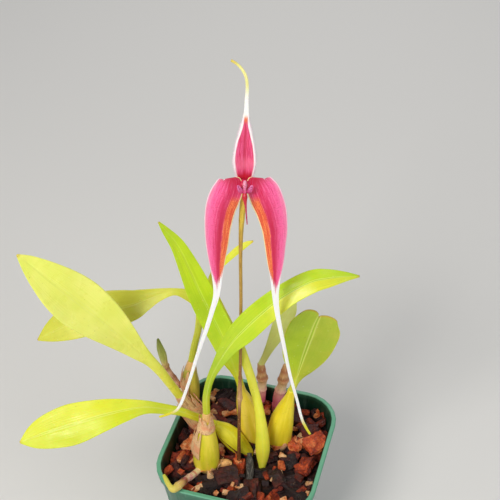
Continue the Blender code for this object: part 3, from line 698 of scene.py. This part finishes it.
SHOOTS = {
    "shoot_a": [
        (5.4, 25.6, 46.5, 1.7), (5.4, 26.4, 53, 1.95), (5.4, 26.7, 59.2, 2.25), (5.9, 26.9, 64.5, 1.9),
        (5.9, 27, 68.5, 2.15), (5.7, 27, 72.5, 1.75), (5.4, 27, 76.5, 1.5),
    ],
    "shoot_b": [
        (12, 23.4, 46.5, 1.8), (12.4, 24.4, 54, 2.15), (13.2, 24.8, 60.1, 2.35), (14.4, 25, 65.6, 2),
        (14.8, 25, 69.5, 2.15), (15.1, 25, 73.5, 1.6), (15.4, 25, 78, 0.8),
    ],
    "shoot_c": [
        (-28.3, 18, 72.6, 1.3), (-30.3, 17.7, 77.8, 1.2), (-32.5, 17.5, 82.1, 1.4), (-33.5, 17.5, 86.2, 1.3),
        (-34.3, 17.5, 91.3, 1.65), (-35.1, 17.5, 96, 1.3), (-35.6, 17.5, 100.3, 0.45),
    ],
}
CREEPERS = {
    "rhizome_tip": [
        (-19.3, -10, 54.2, 1.3), (-21.4, -13.9, 55.8, 1.4), (-24.1, -18.7, 58.6, 1.3),
        (-26.3, -23.6, 61.7, 1.5), (-28.7, -26.7, 62.7, 1.5), (-30.3, -25.9, 63.4, 1.05),
        (-31.8, -23.4, 64.2, 0.85), (-32.8, -21.6, 65, 0.5),
    ],
    "rhizome_stub": [
        (-12.8, -8.4, 54, 1.4), (-10.8, -7.8, 54.8, 1.7), (-8.6, -7.4, 54.6, 1.6), (-6.8, -7.4, 54, 1),
    ],
    "dry_root": [
        (0.6, -3.9, 56.6, 0.9), (0.7, -7.2, 54.6, 1.45), (0.8, -10.8, 53, 1.5), (0.4, -14.4, 51.8, 1.3),
    ],
}
FLOWER_STEM = [
    (-3.8, -5.4, 47, 0.9), (-3.7, -5.4, 54.6, 0.85), (-3.6, -5.5, 66, 0.68), (-3.3, -5.6, 86, 0.64),
    (-3.1, -5.6, 91, 0.9), (-3, -5.6, 98, 0.8), (-2.9, -5.7, 103, 0.62), (-2.7, -6.2, 118, 0.6),
    (-2.4, -7.5, 144.3, 0.6), (-2.4, -9.1, 164.2, 0.62), (-2.2, -10.1, 176, 0.76), (-1.8, -10.9, 185.1, 0.98),
    (-1.3, -11.5, 190.9, 1.12), (-1, -11.9, 194.6, 0.9),
]
# Leaves: x, y, z, half width from stalk to tip, and half thickness where it is not BLADE_THICK
LEAVES = {
    "leaf_1": [
        (-16, -7.5, 85.1, 1.43, 1.35), (-15.9, -8, 94, 1.43, 1.25), (-14.6, -8.5, 102.8, 1.42, 0.9),
        (-12.2, -9.3, 111, 1.78, 0.5), (-7.1, -10.5, 123.6, 3.19), (-2, -11, 132, 4.65),
        (5.2, -10.5, 140.8, 4.8), (13.4, -9, 148, 4.27), (22.1, -7, 152.3, 4.04), (28.4, -5.5, 152.7, 3.21),
        (34.1, -4, 152.2, 1.82), (39.4, -2.5, 151, 0.33, 0.34),
    ],
    "leaf_2": [
        (-3, 6.5, 85.6, 1.43, 1.3), (-3.7, 6.3, 89.9, 1.58, 1.1), (-4.9, 6.1, 94.6, 2.15, 0.7),
        (-6.9, 6, 101.9, 3.7, 0.38), (-9.5, 6.5, 111.7, 4.9), (-13.5, 7.5, 122.3, 5.2), (-17.6, 9, 132.6, 4.9),
        (-21.2, 10.5, 142.6, 4), (-25.2, 11.5, 153.2, 2.7), (-29.2, 12.1, 159.7, 1.45),
        (-31.7, 12.5, 163.5, 0.32, 0.34),
    ],
    "leaf_3": [
        (17.4, 4.5, 84.7, 1.42, 1.3), (18.4, 4.6, 88.6, 1.4, 1.1), (19.2, 4.5, 92.3, 2.35, 0.6),
        (20.1, 4, 97.7, 4.97, 0.38), (21.4, 3.5, 105, 8.24), (23.5, 3, 114.9, 10.04), (25, 2.5, 121.9, 9.77),
        (26.2, 2.2, 126.4, 7.4),
    ],
    "leaf_4": [
        (5.4, 27, 76.3, 1.36, 1.1), (7.1, 27, 80.8, 1.49, 0.9), (9.1, 26.5, 86.9, 2.01, 0.5),
        (11.6, 26, 94.5, 3), (14, 25, 103, 3.72), (16.4, 24, 110.5, 3), (18.7, 23.4, 116.1, 0.37, 0.34),
    ],
    "leaf_6": [
        (5.6, -6.4, 46.5, 1.3, 1.3), (5.8, -6.3, 51.5, 1.5, 1.5), (5.9, -5.8, 57, 2.5, 2.3),
        (5.9, -5.3, 63, 2.9, 2.7), (5.4, -3.5, 71.4, 2.4, 2.3), (4.1, -0.5, 81.1, 1.8, 1.7),
        (1.9, 3.5, 89.4, 1.77, 1.6), (-0.5, 8, 95.4, 1.8, 1.3), (-3.6, 12.5, 102, 1.96, 0.8),
        (-7.8, 17, 109.3, 1.83, 0.5), (-11.3, 20, 115.8, 1.87, 0.38), (-13.7, 21.5, 122.3, 1.74),
        (-13.9, 22.5, 127.6, 1.34), (-11.8, 23, 132.3, 1.22), (-8.3, 23.5, 136.1, 1.14),
        (-4.1, 24, 140.6, 1.36), (-0.7, 24.3, 143.4, 1.05), (2, 24.5, 144.8, 0.34, 0.34),
    ],
    "leaf_7": [
        (-22.8, 18.1, 87.5, 1.41, 1.2), (-21.5, 18, 95.4, 1.4, 1.1), (-19.6, 17.7, 105.1, 1.4, 1),
        (-18.6, 17.5, 115, 1.7, 0.8), (-19.8, 17, 121, 2.15, 0.5), (-23.4, 16.5, 125, 1.98, 0.38),
        (-28, 15.9, 127, 1.4), (-34.1, 15.2, 126, 2.58), (-39.7, 14.4, 124, 4.41), (-44.8, 13.4, 122.3, 6.08),
        (-54.3, 12.2, 120.6, 7.53), (-62, 11, 118.5, 7.46), (-69.4, 9.8, 115.4, 6.11), (-75.8, 9, 111.9, 3.6),
        (-80.8, 8.5, 108.7, 0.35, 0.34),
    ],
    "leaf_8": [
        (-27.6, 8.6, 77.2, 1.77, 1.7), (-30.9, 6.5, 86.5, 1.78, 1.6), (-34.2, 4.5, 95.7, 1.95, 1.4),
        (-37.7, 2.5, 103.6, 2.26, 1), (-41.5, 0.2, 111.1, 3.47, 0.5), (-45.8, -2.7, 120.5, 5.4, 0.4),
        (-50, -5.4, 129.3, 7.12, 0.38), (-54.6, -8, 137.8, 8.55, 0.38), (-59.5, -10.5, 146.3, 9.09, 0.38),
        (-64.3, -13, 154.7, 8.02, 0.38), (-68.9, -15, 162.6, 5.73, 0.37), (-72.9, -16.5, 169.2, 2.99),
        (-75.8, -17.5, 173.6, 0.33, 0.34),
    ],
    "leaf_9": [
        (-13.4, 0, 69.7, 1.6, 1.5), (-17.1, -0.9, 73.2, 1.6, 1.5), (-20.9, -3.5, 78.3, 1.58, 1.4),
        (-25.9, -7.2, 85.3, 1.67, 1.1), (-31.7, -10.5, 90.5, 1.95, 0.6), (-38.8, -13.7, 95.1, 2.57, 0.4),
        (-46, -16.5, 96.6, 4.23, 0.38), (-54.7, -19.2, 96.5, 6.15, 0.38), (-65, -21.5, 94.4, 7.67, 0.38),
        (-73.5, -23.5, 92.8, 6.6, 0.38), (-79.9, -25, 91, 4.2, 0.37), (-84.8, -26, 89.3, 0.37, 0.34),
    ],
}
# How each leaf faces at its stalk and its tip, its fold, and its colours
LEAF_LOOKS = {
    "leaf_1": ((0.2, -0.8, 0.55), (-0.1, -0.62, 0.78), 0.16, (208, 210, 44), (188, 216, 30), (156, 196, 22)),
    "leaf_2": ((0, -0.85, 0.5), (0.3, -0.8, 0.5), 0.12, (216, 216, 40), (192, 222, 20), (162, 200, 14)),
    "leaf_3": ((0, -0.9, 0.45), (0.1, -0.85, 0.5), 0.12, (206, 206, 60), (178, 204, 30), (150, 182, 18)),
    "leaf_4": ((0, -0.85, 0.5), (0.1, -0.8, 0.55), 0.12, (226, 228, 146), (220, 226, 138), (196, 208, 112)),
    "leaf_6": ((0, -0.9, 0.4), (0.1, -0.8, 0.6), 0.12, (240, 230, 66), (236, 232, 70), (204, 214, 56)),
    "leaf_7": ((0.3, -0.9, 0.5), (0, -0.65, 0.75), 0.12, (186, 190, 60), (220, 220, 74), (192, 196, 52)),
    "leaf_8": ((0.1, -0.8, 0.5), (0.1, -0.7, 0.7), 0.1, (236, 232, 74), (252, 252, 122), (232, 240, 84)),
    "leaf_9": ((0.1, -0.7, 0.7), (0, -0.62, 0.78), 0.14, (226, 220, 50), (214, 224, 38), (196, 210, 30)),
}
# Painted light and shade on one half of a folded leaf: its tint (brighter on leaf_1 and leaf_9, duller on leaf_3),
# the share of its length where the tint starts, and where it is full
LEAF_HALF_LIGHTING = {
    "leaf_1": ((224, 226, 56), 0.5, 0.72),
    "leaf_3": ((182, 192, 56), 0.05, 0.2),
    "leaf_9": ((222, 226, 44), 0.2, 0.5),
}
# Sepals: x, y, z, half width from the seat to the end of the tail
DORSAL = [
    (-0.9, -12, 199.4, 1.9), (-0.9, -11.8, 201.5, 2.6), (-0.9, -11.5, 205.1, 3.25), (-0.9, -11.3, 208.4, 3.4),
    (-0.8, -11, 212.6, 2.95), (-0.6, -10.7, 216.7, 2.1), (-0.5, -10.5, 220.2, 1.3), (-0.3, -10.3, 223.9, 0.8),
    (-0.2, -10, 228.5, 0.58), (0, -9.7, 232.5, 0.48), (-0.3, -9.3, 235.8, 0.45), (-1.4, -8.8, 238.2, 0.42),
    (-3, -8.3, 239.9, 0.39), (-4.8, -7.8, 240.9, 0.36),
]
LATERAL_LEFT = [
    (-5.3, -14.3, 202.5, 1.9), (-5.2, -14.5, 201.5, 3.5), (-5.7, -14.8, 199.8, 4.35), (-6.3, -15.1, 197.6, 5),
    (-7.6, -15.5, 194, 5.19), (-8.7, -15.7, 190.1, 4.93), (-9.6, -15.8, 183.6, 4.37), (-10, -15.8, 176, 3.74),
    (-10.2, -15.8, 168.6, 2.65), (-10.2, -15.8, 161.5, 1.7), (-10.6, -15.8, 154.3, 1.1),
    (-12.3, -15.8, 146.8, 0.85), (-14.6, -15.8, 137.6, 0.75), (-18, -15.8, 125.2, 0.64),
    (-22.4, -15.8, 107.9, 0.56), (-25.9, -15.8, 97.2, 0.52), (-29.3, -15.8, 93.9, 0.5),
    (-33.4, -15.8, 92, 0.42),
]
LATERAL_RIGHT = [
    (3.3, -14.3, 202.6, 1.9), (3.3, -14.5, 201.6, 3.6), (4.1, -14.8, 199.8, 4.6), (5, -15.1, 197.6, 5.28),
    (6.4, -15.5, 193.6, 5.41), (7.7, -15.7, 189.3, 5.04), (8.8, -15.8, 182.7, 4.32), (9.1, -15.8, 176, 3.58),
    (9.3, -15.8, 169.1, 2.85), (9.4, -15.8, 162, 1.8), (9.5, -15.8, 154.2, 1.15), (10.4, -15.8, 144.9, 0.85),
    (12.8, -15.8, 130.2, 0.68), (15.2, -15.8, 115.9, 0.58), (18.3, -15.8, 101.4, 0.52),
    (20.3, -15.8, 91.4, 0.52), (22, -15.8, 86.3, 0.5), (23.8, -15.8, 82.2, 0.42),
]
PETAL_LEFT = [
    (-1.6, -16.4, 198.2, 0.35, 0.3), (-2.1, -16.8, 199.3, 0.75, 0.3), (-2.6, -17.1, 200.6, 0.6, 0.3),
    (-2.9, -17.2, 201.8, 0.3, 0.26),
]
PETALS_MIDDLE = -0.75
PETAL_RIGHT = [(2 * PETALS_MIDDLE - x, *rest) for x, *rest in PETAL_LEFT]
COLUMN = [
    (-0.8, -14.2, 201.2, 0.45), (-0.8, -15.2, 200.9, 0.62), (-0.8, -16.2, 199.8, 0.6), (-0.8, -16.9, 198.3, 0.45),
]
LABELLUM = [
    (-0.8, -16.6, 198.6, 0.5), (-0.8, -17.3, 197.4, 0.85), (-0.7, -17.7, 195.8, 0.55),
    (-0.5, -17.9, 193.2, 0.28), (-0.3, -18.1, 190, 0.22), (-0.1, -18.2, 187, 0.16),
]

# Pot
pot_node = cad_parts["pot"]
pot_node.data.materials.clear()
pot_node.data.materials.append(pot_paint())
for face in pot_node.data.polygons:
    face.use_smooth = True

# Leaves
for label, rows in LEAVES.items():
    first, last, fold, stalk, face, dark = LEAF_LOOKS[label]
    # Painted light and shade on one half of the leaf, for the leaves that have it
    half = LEAF_HALF_LIGHTING.get(label)
    notched = label == "leaf_3"
    rim = (240, 236, 60) if notched else face
    gloss = 0.3 if label == "leaf_8" else 0.38
    # Stronger painted shade along the midrib on leaves with a tinted half
    crease = 0.5 if half else 0.22
    paint = leaf_paint(label + "_skin", stalk, face, dark, rim, len(rows) * 1.7, gloss, half, crease)
    notch = 2.9 if notched else 0
    groove = 0.2 if half else 0.1
    full = facing_rows(rows, first, last, fold)
    piece = blade("visual_" + label, full, paint, 120, 32, notch, 0.22, groove)
    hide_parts(label)

# Bulbs, shoots and creeping stems; a bulb's looks are two colours, its dryness and its papery neck
BULB_LOOKS = {
    "pseudobulb_1": ((216, 208, 34), (242, 222, 76), 0.1, 0.5),
    "pseudobulb_2": ((228, 204, 40), (248, 220, 92), 0.05, 0.1),
    "pseudobulb_3": ((232, 210, 34), (250, 228, 66), -0.03, 0.1),
    "pseudobulb_5": ((176, 172, 44), (212, 190, 84), 0.1, 0.5),
    "pseudobulb_6": ((222, 216, 38), (244, 232, 64), -0.08, 0),
}
for index, (label, rows) in enumerate(BULBS.items()):
    if label in BULB_LOOKS:
        paint = bulb_paint(label + "_skin", *BULB_LOOKS[label], index * 7.3)
    else:
        paint = sheath_paint(label + "_skin", (240, 200, 138), (236, 172, 132), 4)
    piece = tube("visual_" + label, rows, paint, 56, 96, 0.04, 0.14, index * 3.1)
    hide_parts(label)
sheath_skin = shoot_paint("shoot_sheath", SHOOT_TONES)
bud_skin = shoot_paint("bud_sheath", BUD_TONES)
SHOOT_BANDS = ((0.25, 0.12, 0.02), (0.52, 0.16, 0.02), (0.72, 0.2, 0.025), (0.9, 0.1, 0.02))
BUD_BANDS = ((0.2, 0.15, 0.02), (0.47, 0.25, 0.02))
for index, (label, rows) in enumerate(SHOOTS.items()):
    if label == "shoot_c":
        piece = tube("visual_" + label, rows, bud_skin, 28, 80, rough=0.12, bands=BUD_BANDS)
    else:
        piece = tube("visual_" + label, rows, sheath_skin, 32, 80, 0, 0.18, index * 2, SHOOT_BANDS)
    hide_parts(label)
TIP_BANDS = ((0.3, 0.14, 0.02), (0.5, 0.16, 0.02), (0.66, 0.12, 0.02))
CREEPER_LOOKS = {
    "rhizome_tip": (creeper_paint(), 0.12, TIP_BANDS),
    "rhizome_stub": (sheath_paint("stub_skin", (246, 184, 112), (244, 160, 92), 6), 0.12, ()),
    "dry_root": (dry_root_paint(), 0.3, ()),
}
for label, rows in CREEPERS.items():
    paint, rough, bands = CREEPER_LOOKS[label]
    piece = tube("visual_" + label, rows, paint, 26, 64, 0, rough, 5, bands)
    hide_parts(label)

# Papery remains round the bulbs: the bulb's number, part covered, middle angle, spread, lift, flare
tan_paper = sheath_paint("paper_tan", (240, 196, 142), (236, 158, 112), 2)
warm_paper = sheath_paint("paper_warm", (246, 188, 144), (240, 140, 104), 7)
HUSKS = [
    (1, 0.78, 0.99, 10, 250, 0.15, 0.35), (1, 0.5, 0.82, -62, 74, 0.12, 0.2), (1, 0.12, 0.42, 52, 84, 0.2, 0.5),
    (4, 0.15, 0.62, -40, 150, 0.3, 0.7), (4, 0.45, 0.97, 30, 170, 0.3, 0.5), (4, 0.3, 0.8, 95, 80, 0.5, 1.2),
    (5, 0.45, 0.93, -65, 120, 0.1, 0.2), (2, 0.12, 0.7, 75, 60, 0.1, 0.2), (3, 0.12, 0.34, 20, 150, 0.1, 0.15),
]
for index, (number, *place) in enumerate(HUSKS):
    label = f"pseudobulb_{number}"
    paper = warm_paper if number == 4 and index != 4 else tan_paper
    husk(f"husk_{index}_{label}", BULBS[label], paper, *place, index * 3.7)

# Flower
STEM_BANDS = ((0.3, 0.25, 0.006), (0.375, 0.3, 0.004), (0.92, 0.06, 0.01))
piece = tube("visual_flower_stem", FLOWER_STEM, stem_paint(), 20, 150, rough=0.04, bands=STEM_BANDS)
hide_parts("flower_stem")
side_skin = sepal_paint()
upper = facing_rows(DORSAL, (0, -0.97, 0.25), (0, -0.97, 0.25), 0.3)
left = facing_rows(LATERAL_LEFT, (0.05, -1, 0.1), (0, -1, 0.1), -0.22)
right = facing_rows(LATERAL_RIGHT, (-0.05, -1, 0.1), (0, -1, 0.1), -0.22)
petals = [facing_rows(rows, (0, -1, 0.2), (0, -1, 0.2)) for rows in (PETAL_LEFT, PETAL_RIGHT)]
petal_skin = petal_paint("petal_skin", (206, 60, 120), (226, 120, 176), (160, 24, 90))
column_skin = petal_paint("column_skin", (240, 170, 196), (214, 80, 130), (190, 40, 80))
lip_skin = petal_paint("lip_skin", (200, 22, 44), (206, 80, 130), (150, 12, 36))
FLOWER = {
    "dorsal_sepal": blade("visual_dorsal_sepal", upper, dorsal_paint(), 110, 24, groove=0.1, edge=0.12),
    "lateral_sepal_left": blade("visual_lateral_left", left, side_skin, 150, 26, 0, 0.1, 0, 0.12),
    "lateral_sepal_right": blade("visual_lateral_right", right, side_skin, 150, 26, 0, 0.1, 0, 0.12, True),
    "petal_left": blade("visual_petal_left", petals[0], petal_skin, 30, 12),
    "petal_right": blade("visual_petal_right", petals[1], petal_skin, 30, 12),
    "column": tube("visual_column", COLUMN, column_skin, 24, 36, rough=0.08),
    "labellum": tube("visual_labellum", LABELLUM, lip_skin, 20, 50, rough=0.05),
}
seat_skin = petal_paint("seat_skin", (196, 24, 60), (206, 40, 84), (150, 8, 40))
SEAT = [(-0.9, -13.2, 196.6, 0.7), (-0.9, -13.7, 198.2, 1.9), (-0.9, -13.6, 199.9, 2), (-0.9, -13.2, 201.2, 0.8)]
piece = tube("visual_flower_seat", SEAT, seat_skin, 28, 40, rough=0.12)
for node, piece in FLOWER.items():
    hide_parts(node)

# White hairs on the rim of the upper sepal
dice = random.Random(5)
hair_mesh = bmesh.new()


def hair(root, way, size):
    """One fine three-sided hair."""
    side = way.orthogonal().normalized() * HAIR_RADIUS
    other = way.cross(side).normalized() * HAIR_RADIUS
    feet = [root + side, root - side * 0.5 + other * 0.87, root - side * 0.5 - other * 0.87]
    feet = [hair_mesh.verts.new(foot) for foot in feet]
    tip = hair_mesh.verts.new(root + way * size)
    for a, b in ((0, 1), (1, 2), (2, 0)):
        hair_mesh.faces.new((feet[a], feet[b], tip))


HAIRY_SHARE, SHORT_SHARE, HAIRS_PER_SPOT = 0.56, 0.48, 2
for point, way, across, normal, row, share in blade_frames(upper, 300):
    if share > HAIRY_SHARE:
        continue
    for sign in (-1, 1):
        root = point + across * row[3] * sign * 0.99 + normal * row[5] * row[3]
        for repeat in range(HAIRS_PER_SPOT):
            lean = across * sign + way * dice.uniform(-0.1, 0.7) + normal * dice.uniform(-0.5, 0.5)
            hair(root, lean.normalized(), dice.uniform(0.35, 0.95) * (1 if share < SHORT_SHARE else 0.5))
p = Paint("hair_white")
hair_skin = p.done(p.mix(p.cloud(800), (255, 246, 250), (250, 214, 226)), 0.4)
piece = finish_mesh(hair_mesh, "sepal_hairs", hair_skin)


# Bark
def inner_wall(height):
    """Half side and corner radius inside the pot wall at a height."""
    share = min(height, POT_HEIGHT) / POT_HEIGHT
    half = POT_HALF_FOOT + (POT_HALF_TOP - POT_HALF_FOOT) * share - WALL_ROOM
    return half, POT_CORNER_FOOT + (POT_CORNER_TOP - POT_CORNER_FOOT) * share - CORNER_ROOM


def keep_inside(spot):
    """Move a point that would cross the pot's wall back to the inside."""
    turned = POT_TURN.transposed() @ spot
    half, radius = inner_wall(turned.z)
    core = half - radius
    dx = max(abs(turned.x) - core, 0)
    dy = max(abs(turned.y) - core, 0)
    reach = math.hypot(dx, dy)
    if reach > radius:
        pull = radius / reach
        turned.x = math.copysign(min(abs(turned.x), core) + dx * pull, turned.x)
        turned.y = math.copysign(min(abs(turned.y), core) + dy * pull, turned.y)
        return POT_TURN @ turned
    return spot


stalk_rows = [row[:4] for row in LEAVES["leaf_6"][:6]]
FEET = []
for rows in [*BULBS.values(), *SHOOTS.values(), *CREEPERS.values(), FLOWER_STEM[:4], stalk_rows]:
    FEET.append([(Vector(row[:3]), row[3]) for row in smooth_rows(rows, 40)])


def clear_of_feet(spot):
    """Move a point that would be inside a bulb or stem out to its skin."""
    for stations in FEET:
        for centre, radius in stations:
            away = spot - centre
            if away.length < radius + 0.1:
                away.z *= 0.3
                if away.length < 0.01:
                    away = Vector((0.01, 0.01, 0))
                spot = centre + away.normalized() * (radius + 0.12)
    return spot


def chip_hull(dice, spot, size, turn):
    """Corners of one roughly cut block."""
    corners = []
    for signs in itertools.product((-1, 1), repeat=3):
        corner = Vector([sign * side / 2 for sign, side in zip(signs, size)])
        corners.append(turn @ (corner * dice.uniform(0.72, 1.08)) + spot)
    return corners


def add_chip(dice, spot, size, turn, tone, cuts, rough):
    """Split, roughened bark block with its own tone."""
    small = bmesh.new()
    for corner in chip_hull(dice, spot, size, turn):
        small.verts.new(corner)
    bmesh.ops.convex_hull(small, input=small.verts[:])
    bmesh.ops.subdivide_edges(small, edges=small.edges[:], cuts=cuts, use_grid_fill=True)
    bmesh.ops.triangulate(small, faces=small.faces[:])
    bmesh.ops.smooth_vert(small, verts=small.verts[:], factor=0.35, use_axis_x=True, use_axis_y=True, use_axis_z=True)
    back = turn.transposed()
    small.normal_update()
    moved = []
    for vert in small.verts:
        local = back @ (vert.co - spot)
        grain = noise.noise(Vector((local.x * 0.16, local.y * 0.9, local.z * 1.4)) + spot)
        lumps = noise.noise(vert.co * 0.55 + Vector((9, 3, 1)))
        pits = noise.noise(vert.co * 1.7)
        shift = rough * (0.9 * grain + 0.8 * lumps + 0.4 * pits)
        moved.append(clear_of_feet(keep_inside(vert.co + vert.normal * shift)))
    links = {vert: chips.verts.new(place) for vert, place in zip(small.verts, moved)}
    for face in small.faces:
        new = chips.faces.new([links[vert] for vert in face.verts])
        for loop in new.loops:
            loop[chips_sheet].uv = (tone, 0.5)
    small.free()


chips, chips_sheet = start_mesh()
CHIP_ROWS, CHIP_REACH = 7, 27
dice = random.Random(11)
tones = random.Random(21)
pitch = 2 * CHIP_REACH / (CHIP_ROWS - 1)
for column in range(CHIP_ROWS):
    for line in range(CHIP_ROWS):
        x = -CHIP_REACH + column * pitch + dice.uniform(-2.4, 2.4)
        y = -CHIP_REACH + line * pitch + dice.uniform(-2.4, 2.4)
        turn = Matrix.Rotation(dice.uniform(0, math.pi), 3, "Z")
        turn = turn @ Matrix.Rotation(dice.uniform(-0.5, 0.5), 3, "X")
        turn = turn @ Matrix.Rotation(dice.uniform(-0.4, 0.4), 3, "Y")
        size = (dice.uniform(7.5, 12.5), dice.uniform(5, 8), dice.uniform(3.5, 5.5))
        spot = POT_TURN @ Vector((x, y, 0)) + Vector((0, 0, dice.uniform(50, 52.6)))
        add_chip(dice, spot, size, turn, tones.choice((0.1, 0.2, 0.3, 0.38, 0.5, 0.62)), 4, 0.75)
# Large chips that the photograph shows: x, y, z, length, width, thickness, spin, lean, tone
BIG_CHIPS = [
    (27.6, 0.4, 57.2, 11, 8, 4.5, 0.6, 0.35, 0.72), (23, -9.5, 55, 9, 6.5, 4, 1.2, -0.4, 0.6),
    (26, 8.5, 54.6, 8, 6, 4, 0.2, 0.3, 0.4), (18.5, 1.5, 54.8, 7, 5, 3.6, 2, 0.3, 0.8),
    (-24, 3.5, 53.8, 7, 5, 4, 0.9, 0.4, 0.85), (-8.5, -14, 53.8, 9.5, 7, 4, 0.3, 0.2, 0.34),
    (12, -15, 53.6, 9, 5.5, 4, 1.9, -0.3, 0.3), (-3, -24, 53.6, 8, 6, 4, 0.5, 0.2, 0.25),
    (-9, 24, 54, 9, 6, 4, 2.4, 0.3, 0.4), (20, 18, 53.8, 8.5, 6, 4, 1.4, 0.3, 0.45),
]
for x, y, z, long, wide, thick, spin, lean, tone in BIG_CHIPS:
    turn = Matrix.Rotation(spin, 3, "Z") @ Matrix.Rotation(lean, 3, "X")
    add_chip(dice, Vector((x, y, z)), (long, wide, thick), turn, tone, 6, 0.8)
SMALL_CHIPS, SMALL_REACH = 190, 29
dice = random.Random(31)
for index in range(SMALL_CHIPS):
    x, y = dice.uniform(-SMALL_REACH, SMALL_REACH), dice.uniform(-SMALL_REACH, SMALL_REACH)
    turn = Matrix.Rotation(dice.uniform(0, 6.3), 3, "Z") @ Matrix.Rotation(dice.uniform(-0.8, 0.8), 3, "X")
    size = (dice.uniform(2, 6), dice.uniform(1.4, 3.4), dice.uniform(1, 2.4))
    spot = POT_TURN @ Vector((x, y, 0)) + Vector((0, 0, dice.uniform(52.4, 54.6)))
    tone = dice.choice((0.15, 0.35, 0.5, 0.62, 0.75, 0.9, 0.98))
    # The dry root lies bare
    if abs(spot.x - 0.7) < 3.2 and -19 < spot.y < -2:
        continue
    add_chip(dice, spot, size, turn, tone, 2, 0.3)
piece = finish_mesh(chips, "visual_bark_chips", bark_paint(), smooth=False)
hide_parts("bark_bed")

ground = bmesh.new()
FINES_GAP, CORNER_STEPS = 0.1, 10


def fines_ring(height):
    """One ring of a rounded square just inside the pot's wall."""
    half, radius = [size - FINES_GAP for size in inner_wall(height)]
    ring = []
    for corner in range(4):
        middle = math.pi / 4 + corner * math.pi / 2
        reach = (half - radius) * math.sqrt(2)
        centre = Vector((reach * math.cos(middle), reach * math.sin(middle), height))
        for step in range(CORNER_STEPS + 1):
            angle = middle - math.pi / 4 + step * math.pi / 2 / CORNER_STEPS
            spot = centre + Vector((radius * math.cos(angle), radius * math.sin(angle), 0))
            ring.append(ground.verts.new(POT_TURN @ spot))
    return ring


rings = [fines_ring(height) for height in (1.65, 15, 30, 42, 51)]
for low, high in zip(rings, rings[1:]):
    for index in range(len(low)):
        after = (index + 1) % len(low)
        ground.faces.new((low[index], low[after], high[after], high[index]))
ground.faces.new(list(reversed(rings[0])))
ground.faces.new(rings[-1])
piece = finish_mesh(ground, "visual_bark_fines", soil_paint(), smooth=False)
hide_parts("bark_bed")

# Stage: pale floor, pale surroundings, soft lights
floor_mesh = bmesh.new()
bmesh.ops.create_grid(floor_mesh, x_segments=1, y_segments=1, size=4.0)
floor_data = bpy.data.meshes.new("floor")
floor_mesh.to_mesh(floor_data)
floor_mesh.free()
floor = bpy.data.objects.new("floor", floor_data)
bpy.context.scene.collection.objects.link(floor)
p = Paint("floor_pale")
floor_data.materials.append(p.done((224, 222, 218), 0.75))
floor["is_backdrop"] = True

world = bpy.data.worlds.new("studio")
bpy.context.scene.world = world
world.use_nodes = True
sky = world.node_tree.nodes["Background"]
sky.inputs[0].default_value = (0.86, 0.88, 0.92, 1.0)
sky.inputs[1].default_value = 0.32


def lamp(name, spot, size, power, colour=(1.0, 1.0, 1.0)):
    """Soft square light that looks at the plant's middle."""
    data = bpy.data.lights.new(name, "AREA")
    data.shape = "SQUARE"
    data.size = size
    data.energy = power
    data.color = colour
    item = bpy.data.objects.new(name, data)
    bpy.context.scene.collection.objects.link(item)
    item.location = spot
    item.rotation_euler = (Vector((0, 0, 0.1)) - Vector(spot)).to_track_quat("-Z", "Y").to_euler()
    item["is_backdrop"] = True


lamp("key", (-0.32, -0.5, 0.68), 0.3, 5.1, (1.0, 0.98, 0.94))
lamp("fill", (0.6, -0.4, 0.45), 0.5, 1.6, (0.94, 0.97, 1.0))
lamp("back", (0.1, 0.7, 0.6), 0.5, 1.6)

# Camera at the photograph's angle
camera_data = bpy.data.cameras.new("camera")
camera_data.sensor_width = 36.0
camera_data.lens = 79.2
camera_data.clip_start = 0.01
camera = bpy.data.objects.new("camera", camera_data)
camera.location = (0.000815, -0.293448, 0.407247)
camera.rotation_euler = (math.radians(50.0), 0.0, 0.0)
bpy.context.scene.collection.objects.link(camera)
bpy.context.scene.camera = camera
bpy.context.scene.view_settings.view_transform = "Standard"

low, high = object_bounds()
